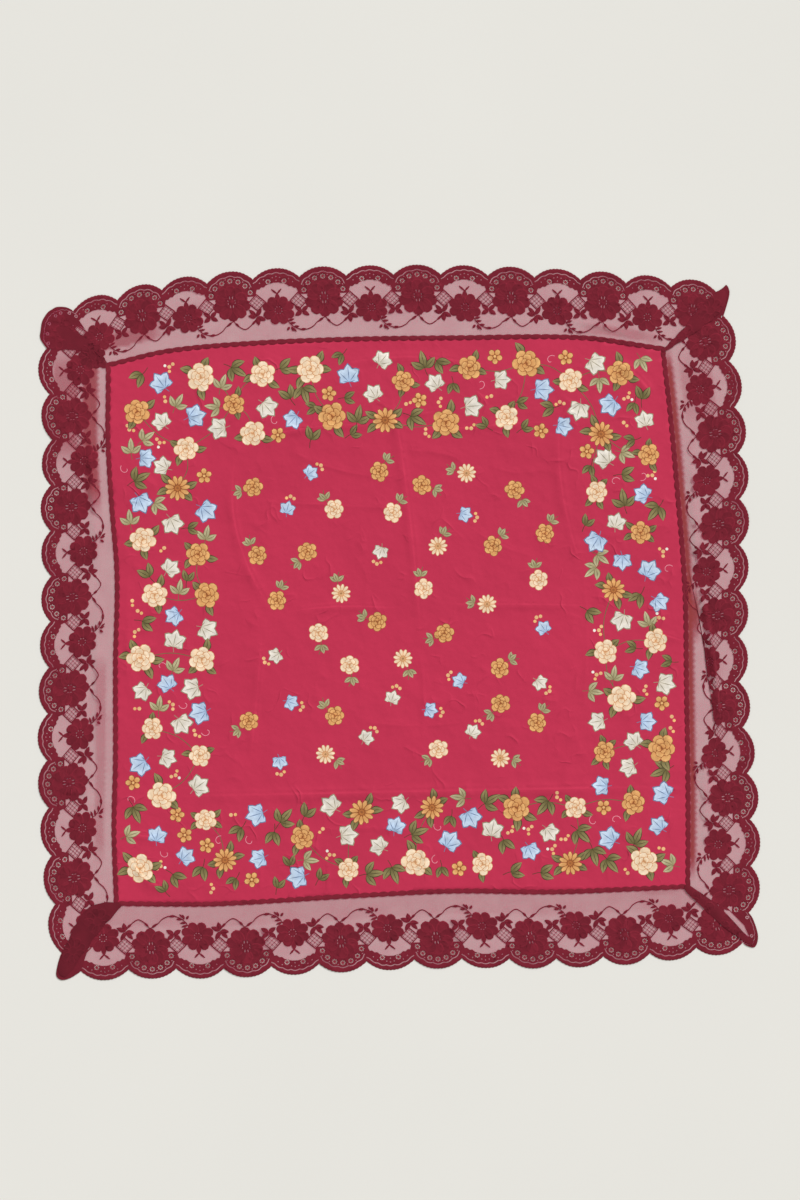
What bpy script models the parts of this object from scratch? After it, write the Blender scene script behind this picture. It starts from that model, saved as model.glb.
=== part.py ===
# Square scarf of fine printed cotton with a wide scalloped lace edging, laid out on a flat surface.
# Plan sizes below are in millimetres, seen from above: +X to the right, +Y away, +Z up.
import math
from collections import namedtuple

import bmesh
import bpy
from mathutils import Vector, geometry

MM = 0.001

# Sheets
CLOTH_THICK = 1.0
LACE_THICK = 1.0
PIECE_GAP = 0.3
LAP_RISE = CLOTH_THICK + PIECE_GAP      # how high a sheet lies that rests on another

# Where the lace laps the square
CLOTH_UNDER_LACE = 5.5                  # the square's hem runs this far under the lace
LAP_FLAT = 7.0                          # the lace stays up this far from its heading
LAP_FOOT = 17.0                         # and is down on the surface here
LAP_STEPS = 20                          # straight pieces in a line along a whole run
LACE_MIDDLE = 45.0                      # a row of plain points along the middle of the lace

# Lace repeat
SCALLOP_RISE = 12.0
SCALLOP_ROUND = 2.2                     # power of the scallop's curve: 2 is a parabola
LARGE_STEPS = 7                         # straight pieces in a large scallop's edge
SMALL_STEPS = 6
HEADING_PITCH = 11.7                    # small scallops of the woven heading
HEADING_RISE = 1.8
HEADING_STEPS = 3
EYELET_RADIUS = 3.2
EYELET_SIDES = 6
EYELET_MARGIN = 6.0                     # lace left between an eyelet's centre and the lace's end
FLOWER_IN = 26.0                        # a large flower's centre, inward from the scallop's valleys
FLOWER_RING = 26.5                      # its eyelets stand on this radius
FLOWER_ANGLES = (-67.5, -45.0, -22.5, 0.0, 22.5, 45.0, 67.5)
PAIR_IN = 3.75                          # the two eyelets of a small scallop, inward from its valleys
PAIR_APART = 20.0

# Mitred corners
MITRE_BUTT = 26.0                       # the two runs only meet along this stretch from the square
LAP_MARGIN = 2.5                        # the upper run stays up this far past the lower one
LAP_SLOPE = 10.0                        # and comes down over this width
LOBE_PULL = 1.6                         # the lower run keeps inside the upper one's edge
FREE_INSET = 0.5                        # its free edge starts this far inside the lower one's valley
FREE_STEPS = 4                          # straight pieces in the free edge

# One side of the scarf, running clockwise seen from above. Valleys are the points between scallops:
# number i is at first + pitch * i + crowd * sin(2 pi i / scallops) + bunch * sin(pi i / scallops).
Side = namedtuple("Side", "begin finish scallops large_first first pitch crowd bunch sections")
# A section across the lace: along the side, the heading's bow, and the valleys' reach.
Section = namedtuple("Section", "along bow reach")

SIDES = {
    "top": Side("top_left", "top_right", 14, False, -46.5, 57.4, -3.9, -0.2, (
        Section(-50, -9.0, 68.0), Section(0, 0.0, 79.0), Section(75, 15.0, 93.5),
        Section(180, 21.5, 102.5), Section(300, 23.0, 104.0), Section(430, 21.0, 101.3),
        Section(590, 16.5, 90.3), Section(690, 0.0, 79.5), Section(760, -12.0, 70.5))),
    "right": Side("top_right", "bottom_right", 13, True, -41.0, 57.5, 1.2, -0.4, (
        Section(-45, -1.0, 77.0), Section(0, 0.0, 81.5), Section(75, 5.0, 87.0),
        Section(170, 9.5, 88.6), Section(300, 13.5, 82.3), Section(418, 10.0, 76.8),
        Section(531, 6.5, 81.6), Section(600, 3.5, 82.6), Section(670, 0.0, 79.5),
        Section(710, -2.0, 75.8))),
    "bottom": Side("bottom_right", "bottom_left", 14, True, -64.0, 59.1, -0.9, -3.0, (
        Section(-66, 0.0, 74.0), Section(0, 0.0, 79.0), Section(60, 1.0, 84.0),
        Section(168, 1.8, 86.3), Section(290, -3.0, 82.6), Section(405, -1.2, 82.9),
        Section(584, 4.0, 86.3), Section(650, 2.5, 84.5), Section(712, 0.0, 84.0),
        Section(765, 0.0, 84.8))),
    "left": Side("bottom_left", "top_left", 13, False, -59.5, 58.1, 1.9, 7.9, (
        Section(-60, 0.0, 71.0), Section(0, 0.0, 77.5), Section(90, 1.5, 82.6),
        Section(181, -1.7, 84.8), Section(299, -3.5, 80.6), Section(409, -7.0, 76.4),
        Section(503, -1.2, 76.2), Section(581, 1.8, 72.8), Section(640, 0.5, 75.5),
        Section(670, 0.0, 77.0), Section(700, 0.0, 78.5))),
}

# A corner: the square's own corner, the lobe of lace outside it from the side that comes in to the
# side that goes out, which of the two lies on top, where the lower run ends, and how far the upper
# run's free edge bows.
Corner = namedtuple("Corner", "square lobe upper lower_end free_bow")
CORNERS = {
    "top_left": Corner((-361.0, 321.0), ((-447.5, 365.5), (-447.0, 378.0), (-438.5, 386.0),
                       (-433.0, 391.5), (-427.5, 394.5), (-417.0, 394.0)), "top", 0.8, 0.0),
    "top_right": Corner((329.0, 341.0), ((401.0, 419.0), (410.0, 422.0), (413.5, 415.0),
                        (413.0, 407.0), (406.0, 397.0)), "top", 0.25, 4.0),
    "bottom_right": Corner((360.0, -328.0), ((443.0, -370.0), (448.5, -386.0), (449.0, -397.0),
                           (445.0, -405.5), (436.0, -404.0)), "right", 0.6, -3.0),
    "bottom_left": Corner((-351.0, -349.5), ((-410.0, -444.0), (-421.0, -446.5), (-427.5, -441.0),
                          (-426.0, -428.0), (-422.5, -416.0)), "left", 0.75, 3.0),
}

# Main folds: three points along the crest, its height, and the half width of its foot.
Fold = namedtuple("Fold", "x0 y0 x1 y1 x2 y2 rise foot")
CLOTH_FOLDS = (
    Fold(-290, -219, 20, -212, 350, -206, 2.2, 11),
    Fold(-12, 300, 12, 140, 27, -30, 1.8, 10),
    Fold(-205, 205, -203, 110, -158, 12, 2.0, 10),
    Fold(-172, -12, -178, -90, -187, -180, 1.4, 9),
    Fold(-140, 12, -75, 19, -4, 17, 1.5, 8),
    Fold(60, 22, 150, 22, 240, 20, 1.4, 8),
    Fold(200, 250, 203, 165, 228, 66, 1.8, 10),
    Fold(-190, 226, -105, 243, -22, 246, 1.5, 8),
    Fold(30, 236, 120, 246, 188, 250, 1.2, 8),
    Fold(272, 326, 300, 304, 316, 280, 3.0, 11),
    Fold(-338, -290, -314, -322, -282, -334, 2.6, 10),
    Fold(-70, 322, 15, 331, 95, 322, 1.8, 9),
    Fold(-345, -34, -325, -31, -300, -26, 1.8, 7),
    Fold(-345, -266, -325, -267, -300, -269, 1.8, 7),
    Fold(322, -12, 338, -18, 354, -23, 1.6, 7),
    Fold(34, -325, 33, -306, 32, -285, 1.5, 7),
    Fold(-90, -336, -89, -318, -90, -300, 1.6, 7),
    Fold(152, -325, 150, -305, 146, -284, 1.5, 7),
)
LACE_FOLDS = {
    "top": (
        Fold(-250, 376, -252, 395, -249, 417, 2.2, 12),
        Fold(-20, 381, -16, 402, -14, 425, 2.0, 12),
        Fold(205, 379, 203, 398, 206, 420, 2.4, 12)),
    "right": (
        Fold(364, 225, 372, 110, 376, 62, 4.5, 9),
        Fold(376, 48, 392, -30, 402, -140, 6.0, 10),
        Fold(382, -165, 384, -220, 384, -285, 3.5, 9)),
    "bottom": (
        Fold(285, -362, 283, -380, 286, -402, 2.2, 12),
        Fold(70, -364, 72, -384, 69, -408, 2.4, 12),
        Fold(-170, -376, -168, -396, -171, -420, 2.2, 12)),
    "left": (
        Fold(-386, 250, -381, 150, -374, 60, 3.5, 9),
        Fold(-374, 35, -376, -80, -377, -170, 3.0, 9),
        Fold(-384, -210, -403, -213, -422, -210, 2.2, 10)),
}
FOLD_STEPS = 6                          # straight pieces along a fold
FOLD_ENDS = 3                           # power of the fall to a fold's ends

# Grid of plain points inside the square
GRID_STEP = 75.0
GRID_REACH = 400.0
GRID_CLEAR = 16.0                       # grid points keep this far from folds and the hem
HEM_STEPS = 14                          # straight pieces along each side of the square
SAME_PLACE = 0.05                       # points closer than this are one

# Linear colours and roughness of the two finishes
CLOTH_COLOUR = (0.527, 0.027, 0.076, 1.0)
CLOTH_ROUGH = 0.75
LACE_COLOUR = (0.216, 0.0116, 0.0307, 1.0)
LACE_ROUGH = 0.85


def clear_scene():
    for thing in list(bpy.data.objects):
        bpy.data.objects.remove(thing, do_unlink=True)


def make_material(name, colour, roughness):
    material = bpy.data.materials.new(name)
    material.use_nodes = True
    shader = material.node_tree.nodes["Principled BSDF"]
    shader.inputs["Base Color"].default_value = colour
    shader.inputs["Roughness"].default_value = roughness
    shader.inputs["Metallic"].default_value = 0.0
    material.diffuse_color = colour
    return material


def smooth_step(value):
    value = min(max(value, 0.0), 1.0)
    return value * value * (3.0 - 2.0 * value)


def point_on_curve(points, u):
    """A smooth curve through three points, at u from 0 to 1."""
    first, middle, last = points
    bend = middle * 2.0 - (first + last) * 0.5
    return first * (1 - u) ** 2 + bend * (2 * u * (1 - u)) + last * u ** 2


def between_sections(sections, column, along):
    """One column of a side's table, read as a smooth curve."""
    xs = [row.along for row in sections]
    ys = [getattr(row, column) for row in sections]
    last = len(xs) - 1
    slopes = []
    for i in range(len(xs)):
        low, high = max(i - 1, 0), min(i + 1, last)
        slopes.append((ys[high] - ys[low]) / (xs[high] - xs[low]))
    if along <= xs[0]:
        return ys[0] + slopes[0] * (along - xs[0])
    if along >= xs[last]:
        return ys[last] + slopes[last] * (along - xs[last])
    i = max(k for k in range(last) if xs[k] <= along)
    span = xs[i + 1] - xs[i]
    t = (along - xs[i]) / span
    return (ys[i] * (1 + 2 * t) * (1 - t) ** 2 + ys[i + 1] * t * t * (3 - 2 * t)
            + span * t * (1 - t) * (slopes[i] * (1 - t) - slopes[i + 1] * t))


def side_axes(side):
    begin = Vector(CORNERS[side.begin].square)
    finish = Vector(CORNERS[side.finish].square)
    run = (finish - begin).normalized()
    return begin, run, Vector((-run.y, run.x)), (finish - begin).length


def heading_point(side, along, outward=0.0):
    begin, run, out, _length = side_axes(side)
    return begin + run * along + out * (between_sections(side.sections, "bow", along) + outward)


def edge_point(side, along, outward=0.0):
    begin, run, out, _length = side_axes(side)
    return begin + run * along + out * (between_sections(side.sections, "reach", along) + outward)


def valley(side, number):
    turn = math.pi * number / side.scallops
    return (side.first + side.pitch * number + side.crowd * math.sin(2 * turn)
            + side.bunch * math.sin(turn))


def is_large(side, number):
    return (number % 2 == 0) == side.large_first


def scalloped_edge(side):
    """The picot edge from the first valley to the last."""
    points = [edge_point(side, valley(side, 0))]
    for number in range(side.scallops):
        low, high = valley(side, number), valley(side, number + 1)
        steps = LARGE_STEPS if is_large(side, number) else SMALL_STEPS
        for k in range(1, steps + 1):
            t = -math.cos(math.pi * k / steps)
            along = low + (high - low) * (t + 1) / 2
            points.append(edge_point(side, along, SCALLOP_RISE * (1 - abs(t) ** SCALLOP_ROUND)))
    return points


def scalloped_heading(side):
    """The woven heading's small scallops, towards the square, from corner to corner."""
    _begin, _run, _out, length = side_axes(side)
    count = round(length / HEADING_PITCH)
    points = [heading_point(side, 0.0)]
    for number in range(count * HEADING_STEPS):
        along = length * (number + 1) / (count * HEADING_STEPS)
        t = 2 * ((number + 1) % HEADING_STEPS) / HEADING_STEPS - 1
        points.append(heading_point(side, along, -HEADING_RISE * (1 - t * t)))
    return points


def eyelet_centres(side):
    centres = []
    for number in range(side.scallops):
        low, high = valley(side, number), valley(side, number + 1)
        middle = (low + high) / 2
        if is_large(side, number):
            for angle in FLOWER_ANGLES:
                turn = math.radians(angle)
                inward = FLOWER_IN - FLOWER_RING * math.cos(turn)
                centres.append(edge_point(side, middle + FLOWER_RING * math.sin(turn), -inward))
        else:
            for way in (-0.5, 0.5):
                centres.append(edge_point(side, middle + way * PAIR_APART, -PAIR_IN))
    return centres


def inside(point, outline):
    hit = False
    for a, b in zip(outline, outline[1:] + outline[:1]):
        if (a.y > point.y) != (b.y > point.y):
            if point.x < a.x + (point.y - a.y) / (b.y - a.y) * (b.x - a.x):
                hit = not hit
    return hit


def distance_to_line(point, line):
    """Distance to an open line of points, and how far along it the nearest place is, 0 to 1."""
    best, place = 1e9, 0.0
    for k in range(len(line) - 1):
        a, b = line[k], line[k + 1]
        run = b - a
        if run.length_squared == 0:
            continue
        t = min(max((point - a).dot(run) / run.length_squared, 0.0), 1.0)
        distance = (point - a - run * t).length
        if distance < best:
            best, place = distance, (k + t) / (len(line) - 1)
    return best, place


def fold_line(fold, offset=0.0):
    """The fold's crest, or a line beside it, as straight pieces."""
    ends = [Vector((fold.x0, fold.y0)), Vector((fold.x1, fold.y1)), Vector((fold.x2, fold.y2))]
    points = []
    for k in range(FOLD_STEPS + 1):
        u = k / FOLD_STEPS
        point = point_on_curve(ends, u)
        ahead = (ends[1] - ends[0]) * (1 - u) + (ends[2] - ends[1]) * u
        beside = Vector((-ahead.y, ahead.x)).normalized()
        points.append(point + beside * offset)
    return points


def fold_height(point, folds, crests):
    height = 0.0
    for fold, crest in zip(folds, crests):
        distance, place = distance_to_line(point, crest)
        taper = 1 - abs(2 * place - 1) ** FOLD_ENDS
        height = max(height, fold.rise * taper * (1 - smooth_step(distance / fold.foot)))
    return height


def corner_outline(corner, pull=0.0):
    """The lobe's points, drawn in towards the square's corner by the given amount."""
    square = Vector(corner.square)
    points = []
    for place in corner.lobe:
        point = Vector(place)
        points.append(point + (square - point).normalized() * pull)
    return points


def mitre_direction(corner):
    return (Vector(corner.lobe[len(corner.lobe) // 2]) - Vector(corner.square)).normalized()


def mitre_point(corner, offset=0.0):
    """Where the two runs stop merely meeting, moved a little towards the side that comes in."""
    out = mitre_direction(corner)
    return Vector(corner.square) + out * MITRE_BUTT + Vector((-out.y, out.x)) * offset


def lower_run(corner_name):
    """The run that lies below at a corner, and the number of its valley nearest to it."""
    for name, side in SIDES.items():
        if corner_name in (side.begin, side.finish) and CORNERS[corner_name].upper != name:
            return side, side.scallops if side.finish == corner_name else 0


def hidden_end(corner_name):
    """The lower run's edge round the lobe, from its own last valley to where it ends."""
    corner = CORNERS[corner_name]
    side, _number = lower_run(corner_name)
    points = corner_outline(corner, LOBE_PULL)
    place = corner.lower_end * (len(points) - 1)
    k = min(int(place), len(points) - 2)
    end = points[k].lerp(points[k + 1], place - k)
    kept = points[:k + 1] if side.finish == corner_name else points[k + 1:][::-1]
    return kept + [end]


def free_edge(corner_name):
    """The upper run's free edge, from the lower run's valley in to the mitre."""
    corner = CORNERS[corner_name]
    side, number = lower_run(corner_name)
    outer = edge_point(side, valley(side, number), -FREE_INSET)
    inner = mitre_point(corner)
    beside = Vector((-(inner - outer).y, (inner - outer).x)).normalized()
    points = []
    for k in range(FREE_STEPS):
        u = k / FREE_STEPS
        points.append(outer.lerp(inner, u) + beside * corner.free_bow * math.sin(math.pi * u))
    return points


def doubled_zone(corner_name):
    """Where the two runs lie one on the other."""
    return hidden_end(corner_name)[::-1] + free_edge(corner_name) + [mitre_point(CORNERS[corner_name])]


def run_end(name, corner_name, at_finish):
    """Points round one end of a lace run, from its edge back to the square's corner."""
    corner = CORNERS[corner_name]
    butt = mitre_point(corner, PIECE_GAP / 2 if at_finish else -PIECE_GAP / 2)
    if corner.upper == name:
        lobe = corner_outline(corner)
        return (lobe if at_finish else lobe[::-1]) + free_edge(corner_name) + [butt]
    return hidden_end(corner_name) + [butt]


def lace_outline(name, side):
    """The whole cut shape of one run: heading, one end, scalloped edge, other end."""
    heading = scalloped_heading(side)
    _begin, run, _out, _length = side_axes(side)
    heading[0] = heading[0] + run * PIECE_GAP
    heading[-1] = heading[-1] - run * PIECE_GAP
    at_finish = run_end(name, side.finish, True)
    at_begin = run_end(name, side.begin, False)
    points = heading + at_finish[::-1] + scalloped_edge(side)[::-1] + at_begin
    before = points[-1:] + points[:-1]
    return [point for point, last in zip(points, before) if (point - last).length > SAME_PLACE]


def upper_corners(name, side):
    return [key for key in (side.begin, side.finish) if CORNERS[key].upper == name]


def lace_height(name, side, crests):
    """A function that gives the height of the run's underside over the surface."""
    begin, run, out, _length = side_axes(side)
    zones = [(doubled_zone(key), [Vector(CORNERS[key].square), mitre_point(CORNERS[key])])
             for key in upper_corners(name, side)]

    def height(point):
        bow = between_sections(side.sections, "bow", (point - begin).dot(run))
        outward = (point - begin).dot(out) - bow
        up = 1 - smooth_step((outward - LAP_FLAT) / (LAP_FOOT - LAP_FLAT))
        for zone, joint in zones:
            apart = 0.0
            if not inside(point, zone):
                apart = min(distance_to_line(point, zone + zone[:1])[0], distance_to_line(point, joint)[0])
            up = max(up, 1 - smooth_step((apart - LAP_MARGIN) / LAP_SLOPE))
        return LAP_RISE * up + fold_height(point, LACE_FOLDS[name], crests)

    return height


def line_beside_heading(side, outward):
    """A line along the run, running on a little at each end to reach the mitres."""
    _begin, _run, _out, length = side_axes(side)
    whole = length + 2 * outward
    return [heading_point(side, whole * k / LAP_STEPS - outward, outward) for k in range(LAP_STEPS + 1)]


def cloth_outline():
    """The square's hem, a little outside the heading's line, clockwise."""
    points = []
    for side in SIDES.values():
        _begin, _run, _out, length = side_axes(side)
        for k in range(1, HEM_STEPS):
            points.append(heading_point(side, length * k / HEM_STEPS, CLOTH_UNDER_LACE))
        corner = CORNERS[side.finish]
        points.append(Vector(corner.square) + mitre_direction(corner) * CLOTH_UNDER_LACE * math.sqrt(2))
    return points


def eyelet(centre):
    points = []
    for k in range(EYELET_SIDES):
        turn = 2 * math.pi * (k + 0.5) / EYELET_SIDES
        points.append(centre + Vector((math.cos(turn), math.sin(turn))) * EYELET_RADIUS)
    return points


def sheet_object(name, outline, holes, lines, loose, height, thick, material):
    """A sheet of even thickness: a plan cut into triangles round its holes and along its folds,
    lifted to its height at every point, then thickened upward. Everything is in millimetres."""
    points, edges = [], []

    def add_line(line, closed):
        first = len(points)
        points.extend(line)
        edges.extend((first + k, first + k + 1) for k in range(len(line) - 1))
        if closed:
            edges.append((first + len(line) - 1, first))

    add_line(outline, True)
    for hole in holes:
        add_line(hole, True)
    for line in lines:
        add_line(line, False)
    points.extend(loose)
    plan, _edges, faces, *_rest = geometry.delaunay_2d_cdt(points, edges, [], 0, SAME_PLACE / 100)

    kept = []
    for face in faces:
        centre = sum((plan[k] for k in face), Vector((0.0, 0.0))) / len(face)
        if inside(centre, outline) and not any(inside(centre, hole) for hole in holes):
            kept.append(face)

    mesh_data = bmesh.new()
    used = sorted({k for face in kept for k in face})
    made = {}
    for k in used:
        made[k] = mesh_data.verts.new((plan[k].x * MM, plan[k].y * MM, height(plan[k]) * MM))
    for face in kept:
        mesh_data.faces.new([made[k] for k in face])
    grown = bmesh.ops.extrude_face_region(mesh_data, geom=list(mesh_data.faces))
    upper = [part for part in grown["geom"] if isinstance(part, bmesh.types.BMVert)]
    bmesh.ops.translate(mesh_data, vec=(0, 0, thick * MM), verts=upper)
    bmesh.ops.recalc_face_normals(mesh_data, faces=list(mesh_data.faces))

    mesh = bpy.data.meshes.new(name)
    mesh_data.to_mesh(mesh)
    mesh_data.free()
    mesh.materials.append(material)
    thing = bpy.data.objects.new(name, mesh)
    bpy.context.scene.collection.objects.link(thing)
    return thing


def lines_of_folds(folds):
    lines = []
    for fold in folds:
        lines += [fold_line(fold), fold_line(fold, fold.foot), fold_line(fold, -fold.foot)]
    return lines


def build_square(material):
    outline = cloth_outline()
    lines = lines_of_folds(CLOTH_FOLDS)
    crests = [fold_line(fold) for fold in CLOTH_FOLDS]
    loose = []
    count = int(2 * GRID_REACH / GRID_STEP)
    for row in range(count):
        for column in range(count):
            stagger = GRID_STEP / 2 if row % 2 else 0.0
            point = Vector((-GRID_REACH + column * GRID_STEP + stagger, -GRID_REACH + row * GRID_STEP))
            clear = min(distance_to_line(point, line)[0] for line in lines + [outline + outline[:1]])
            if inside(point, outline) and clear > GRID_CLEAR:
                loose.append(point)
    return sheet_object("printed_square", outline, [], lines, loose,
                        lambda point: fold_height(point, CLOTH_FOLDS, crests), CLOTH_THICK, material)


def build_lace(name, side, material):
    outline = lace_outline(name, side)
    zones = [doubled_zone(key) for key in upper_corners(name, side)]
    holes = []
    for centre in eyelet_centres(side):
        margin, _place = distance_to_line(centre, outline + outline[:1])
        doubled = any(inside(centre, zone) for zone in zones)
        if inside(centre, outline) and margin > EYELET_MARGIN and not doubled:
            holes.append(eyelet(centre))
    _begin, _run, _out, length = side_axes(side)
    lines = [line_beside_heading(side, LAP_FLAT), line_beside_heading(side, LAP_FOOT)]
    lines += lines_of_folds(LACE_FOLDS[name])
    middle = edge_point(side, length / 2, -LACE_MIDDLE)
    for key in upper_corners(name, side):
        near, far = mitre_point(CORNERS[key]), hidden_end(key)[-1]
        beside = Vector((-(far - near).y, (far - near).x)).normalized()
        if beside.dot(middle - near) < 0:
            beside = -beside
        for offset in (LAP_MARGIN, LAP_MARGIN + LAP_SLOPE):
            lines.append([near + beside * offset, far + beside * offset])
    loose = []
    for number in range(side.scallops + 1):
        point = edge_point(side, valley(side, number), -LACE_MIDDLE)
        clear = min(distance_to_line(point, line)[0] for line in lines + [outline])
        if clear > EYELET_MARGIN:
            loose.append(point)
    crests = [fold_line(fold) for fold in LACE_FOLDS[name]]
    return sheet_object("lace_edging_" + name, outline, holes, lines, loose,
                        lace_height(name, side, crests), LACE_THICK, material)


def centre_on_origin(things):
    """Move the whole scarf so that the middle of its outline is over the origin."""
    corners = [vertex.co for thing in things for vertex in thing.data.vertices]
    middle_x = (min(co.x for co in corners) + max(co.x for co in corners)) / 2
    middle_y = (min(co.y for co in corners) + max(co.y for co in corners)) / 2
    for thing in things:
        for vertex in thing.data.vertices:
            vertex.co.x -= middle_x
            vertex.co.y -= middle_y


def main():
    clear_scene()
    things = [build_square(make_material("printed cotton", CLOTH_COLOUR, CLOTH_ROUGH))]
    lace = make_material("dyed lace", LACE_COLOUR, LACE_ROUGH)
    for name, side in SIDES.items():
        things.append(build_lace(name, side, lace))
    centre_on_origin(things)


main()
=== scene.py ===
# %% [markdown]
# # A square lace-edged scarf, laid out flat
#
# The real thing is one square of fine printed cotton with four runs of wide scalloped lace sewn
# round it. Lace and print are both flat patterns, so most of this lesson is about drawing patterns
# as outlines, cutting them into triangles in one go, and laying the cut sheets over soft folds.
#
# Plan sizes are in millimetres, seen from above: +X to the right, +Y away. Meshes are in metres.

# %% Load the frame
import math
import random
from collections import namedtuple

import bpy
import numpy as np
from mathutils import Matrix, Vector, geometry


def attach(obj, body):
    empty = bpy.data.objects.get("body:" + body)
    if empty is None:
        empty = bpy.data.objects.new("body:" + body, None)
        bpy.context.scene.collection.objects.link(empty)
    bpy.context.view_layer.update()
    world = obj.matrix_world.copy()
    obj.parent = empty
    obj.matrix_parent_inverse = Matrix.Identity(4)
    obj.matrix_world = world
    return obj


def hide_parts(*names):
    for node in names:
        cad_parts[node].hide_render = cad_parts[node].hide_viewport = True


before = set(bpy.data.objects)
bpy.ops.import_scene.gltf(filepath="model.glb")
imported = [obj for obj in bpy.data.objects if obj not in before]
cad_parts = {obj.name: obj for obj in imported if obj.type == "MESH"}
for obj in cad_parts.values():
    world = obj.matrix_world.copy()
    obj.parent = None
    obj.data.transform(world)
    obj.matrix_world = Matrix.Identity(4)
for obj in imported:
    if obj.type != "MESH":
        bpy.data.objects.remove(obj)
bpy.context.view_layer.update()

MM = 0.001

# %% [markdown]
# ## Where the scarf lies
#
# The picture is taken from straight above, so the camera looks down from high up, and one pixel is
# 1.25 mm anywhere on the scarf. The light is a soft studio sky with a low, wide key light: a pressed
# crease is only a millimetre or two high, and a light from straight above would hide it.

# %% Camera
PHOTO_WIDE, PHOTO_HIGH = 800, 1200
MM_PER_PIXEL = 1.25
PHOTO_ORIGIN = (399.0, 622.5)           # the pixel over the origin
CAMERA_HIGH = 3.2
SENSOR = 24.0

target_x = (PHOTO_WIDE / 2 - PHOTO_ORIGIN[0]) * MM_PER_PIXEL * MM
target_y = (PHOTO_ORIGIN[1] - PHOTO_HIGH / 2) * MM_PER_PIXEL * MM
camera_data = bpy.data.cameras.new("camera")
camera_data.sensor_fit = "VERTICAL"
camera_data.sensor_height = SENSOR
camera_data.lens = SENSOR * CAMERA_HIGH / (PHOTO_HIGH * MM_PER_PIXEL * MM)
camera = bpy.data.objects.new("camera", camera_data)
camera.location = (target_x, target_y, CAMERA_HIGH)
bpy.context.scene.collection.objects.link(camera)
bpy.context.scene.camera = camera
print("camera at", [round(place, 4) for place in camera.location], "lens", round(camera_data.lens, 2))

# %% Sky and key light
SKY_COLOUR = (1.0, 0.99, 0.97, 1.0)
SKY = 0.557
SUN_POWER = 2.6
SUN_SPREAD = math.radians(16)
SUN_TILT = math.radians(58)
SUN_FROM = math.radians(-38)            # the light comes from the far right

world = bpy.data.worlds.new("soft studio")
world.use_nodes = True
sky = world.node_tree.nodes["Background"]
sky.inputs["Color"].default_value = SKY_COLOUR
sky.inputs["Strength"].default_value = SKY
bpy.context.scene.world = world
bpy.context.scene.view_settings.view_transform = "Standard"

sun_data = bpy.data.lights.new("key light", "SUN")
sun_data.energy = SUN_POWER
sun_data.angle = SUN_SPREAD
sun = bpy.data.objects.new("key light", sun_data)
sun.rotation_euler = (SUN_TILT, 0, SUN_FROM + math.pi)
bpy.context.scene.collection.objects.link(sun)
print("key light", round(90 - math.degrees(SUN_TILT)), "degrees over the surface")

# %% [markdown]
# ## Shared effects
#
# Cotton and lace are both spun thread, so a weave, a crinkle and an uneven dye turn up in every
# finish here. Each could be drawn anew in each material. Building it once as a node group, with
# named inputs, keeps the materials short and lets each one choose its own scale.

# %% Node helpers


def add_node(tree, kind, **settings):
    node = tree.nodes.new(kind)
    for name, value in settings.items():
        setattr(node, name, value)
    return node


def feed(tree, node, **values):
    """Set or link a node's inputs by name; an underscore stands for a space."""
    for name, value in values.items():
        socket = node.inputs[name.replace("_", " ")]
        if isinstance(value, bpy.types.NodeSocket):
            tree.links.new(value, socket)
        else:
            socket.default_value = value
    return node


def maths(tree, operation, first, second=None, third=None, clamp=False):
    node = add_node(tree, "ShaderNodeMath", operation=operation, use_clamp=clamp)
    for socket, value in zip(node.inputs, (first, second, third)):
        if isinstance(value, bpy.types.NodeSocket):
            tree.links.new(value, socket)
        elif value is not None:
            socket.default_value = value
    return node.outputs[0]


def new_group(name, inputs, outputs):
    """A shader node group with float inputs (name, default) and float outputs."""
    tree = bpy.data.node_groups.new(name, "ShaderNodeTree")
    for label, default in inputs:
        socket = tree.interface.new_socket(label, in_out="INPUT", socket_type="NodeSocketFloat")
        socket.default_value = default
    for label in outputs:
        tree.interface.new_socket(label, in_out="OUTPUT", socket_type="NodeSocketFloat")
    return tree, tree.nodes.new("NodeGroupInput"), tree.nodes.new("NodeGroupOutput")


def noise(tree, scale, detail=2.0):
    node = feed(tree, add_node(tree, "ShaderNodeTexNoise"), Scale=scale, Detail=detail)
    tree.links.new(add_node(tree, "ShaderNodeTexCoord").outputs["Object"], node.inputs["Vector"])
    return node.outputs["Fac"]


# %% Weave, crinkle and dye groups
WANDER_SCALE, WANDER = 60.0, 1.5        # how the threads stray from straight
GAP_SHADE = 0.16                       # painted shade: how much darker the gaps between threads are
WRINKLE_SETS = ((0.4, 0.03), (0.7, 0.035))   # scale and width of two sets of thin wrinkles
WRINKLE_GAIN, WRINKLE_FROM = 6.0, 3.2   # breaks the wrinkles into short ones


def build_weave():
    """Over-and-under threads: a height for bump, and a tone that paints shade into the gaps."""
    tree, given, result = new_group("thread weave", [("Threads per metre", 1500.0)], ["Height", "Tone"])
    place = add_node(tree, "ShaderNodeSeparateXYZ")
    tree.links.new(add_node(tree, "ShaderNodeTexCoord").outputs["Object"], place.inputs[0])
    wander = maths(tree, "MULTIPLY", noise(tree, WANDER_SCALE), WANDER)
    pace = maths(tree, "MULTIPLY", given.outputs[0], math.pi)
    waves = []
    for axis in ("X", "Y"):
        turns = maths(tree, "MULTIPLY_ADD", place.outputs[axis], pace, wander)
        waves.append(maths(tree, "SINE", turns))
    height = maths(tree, "MULTIPLY_ADD", maths(tree, "MULTIPLY", *waves), 0.5, 0.5)
    tree.links.new(height, result.inputs["Height"])
    # painted shade in the gaps between threads
    tone = maths(tree, "MULTIPLY_ADD", height, GAP_SHADE, 1 - GAP_SHADE / 2)
    tree.links.new(tone, result.inputs["Tone"])
    return tree


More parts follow.
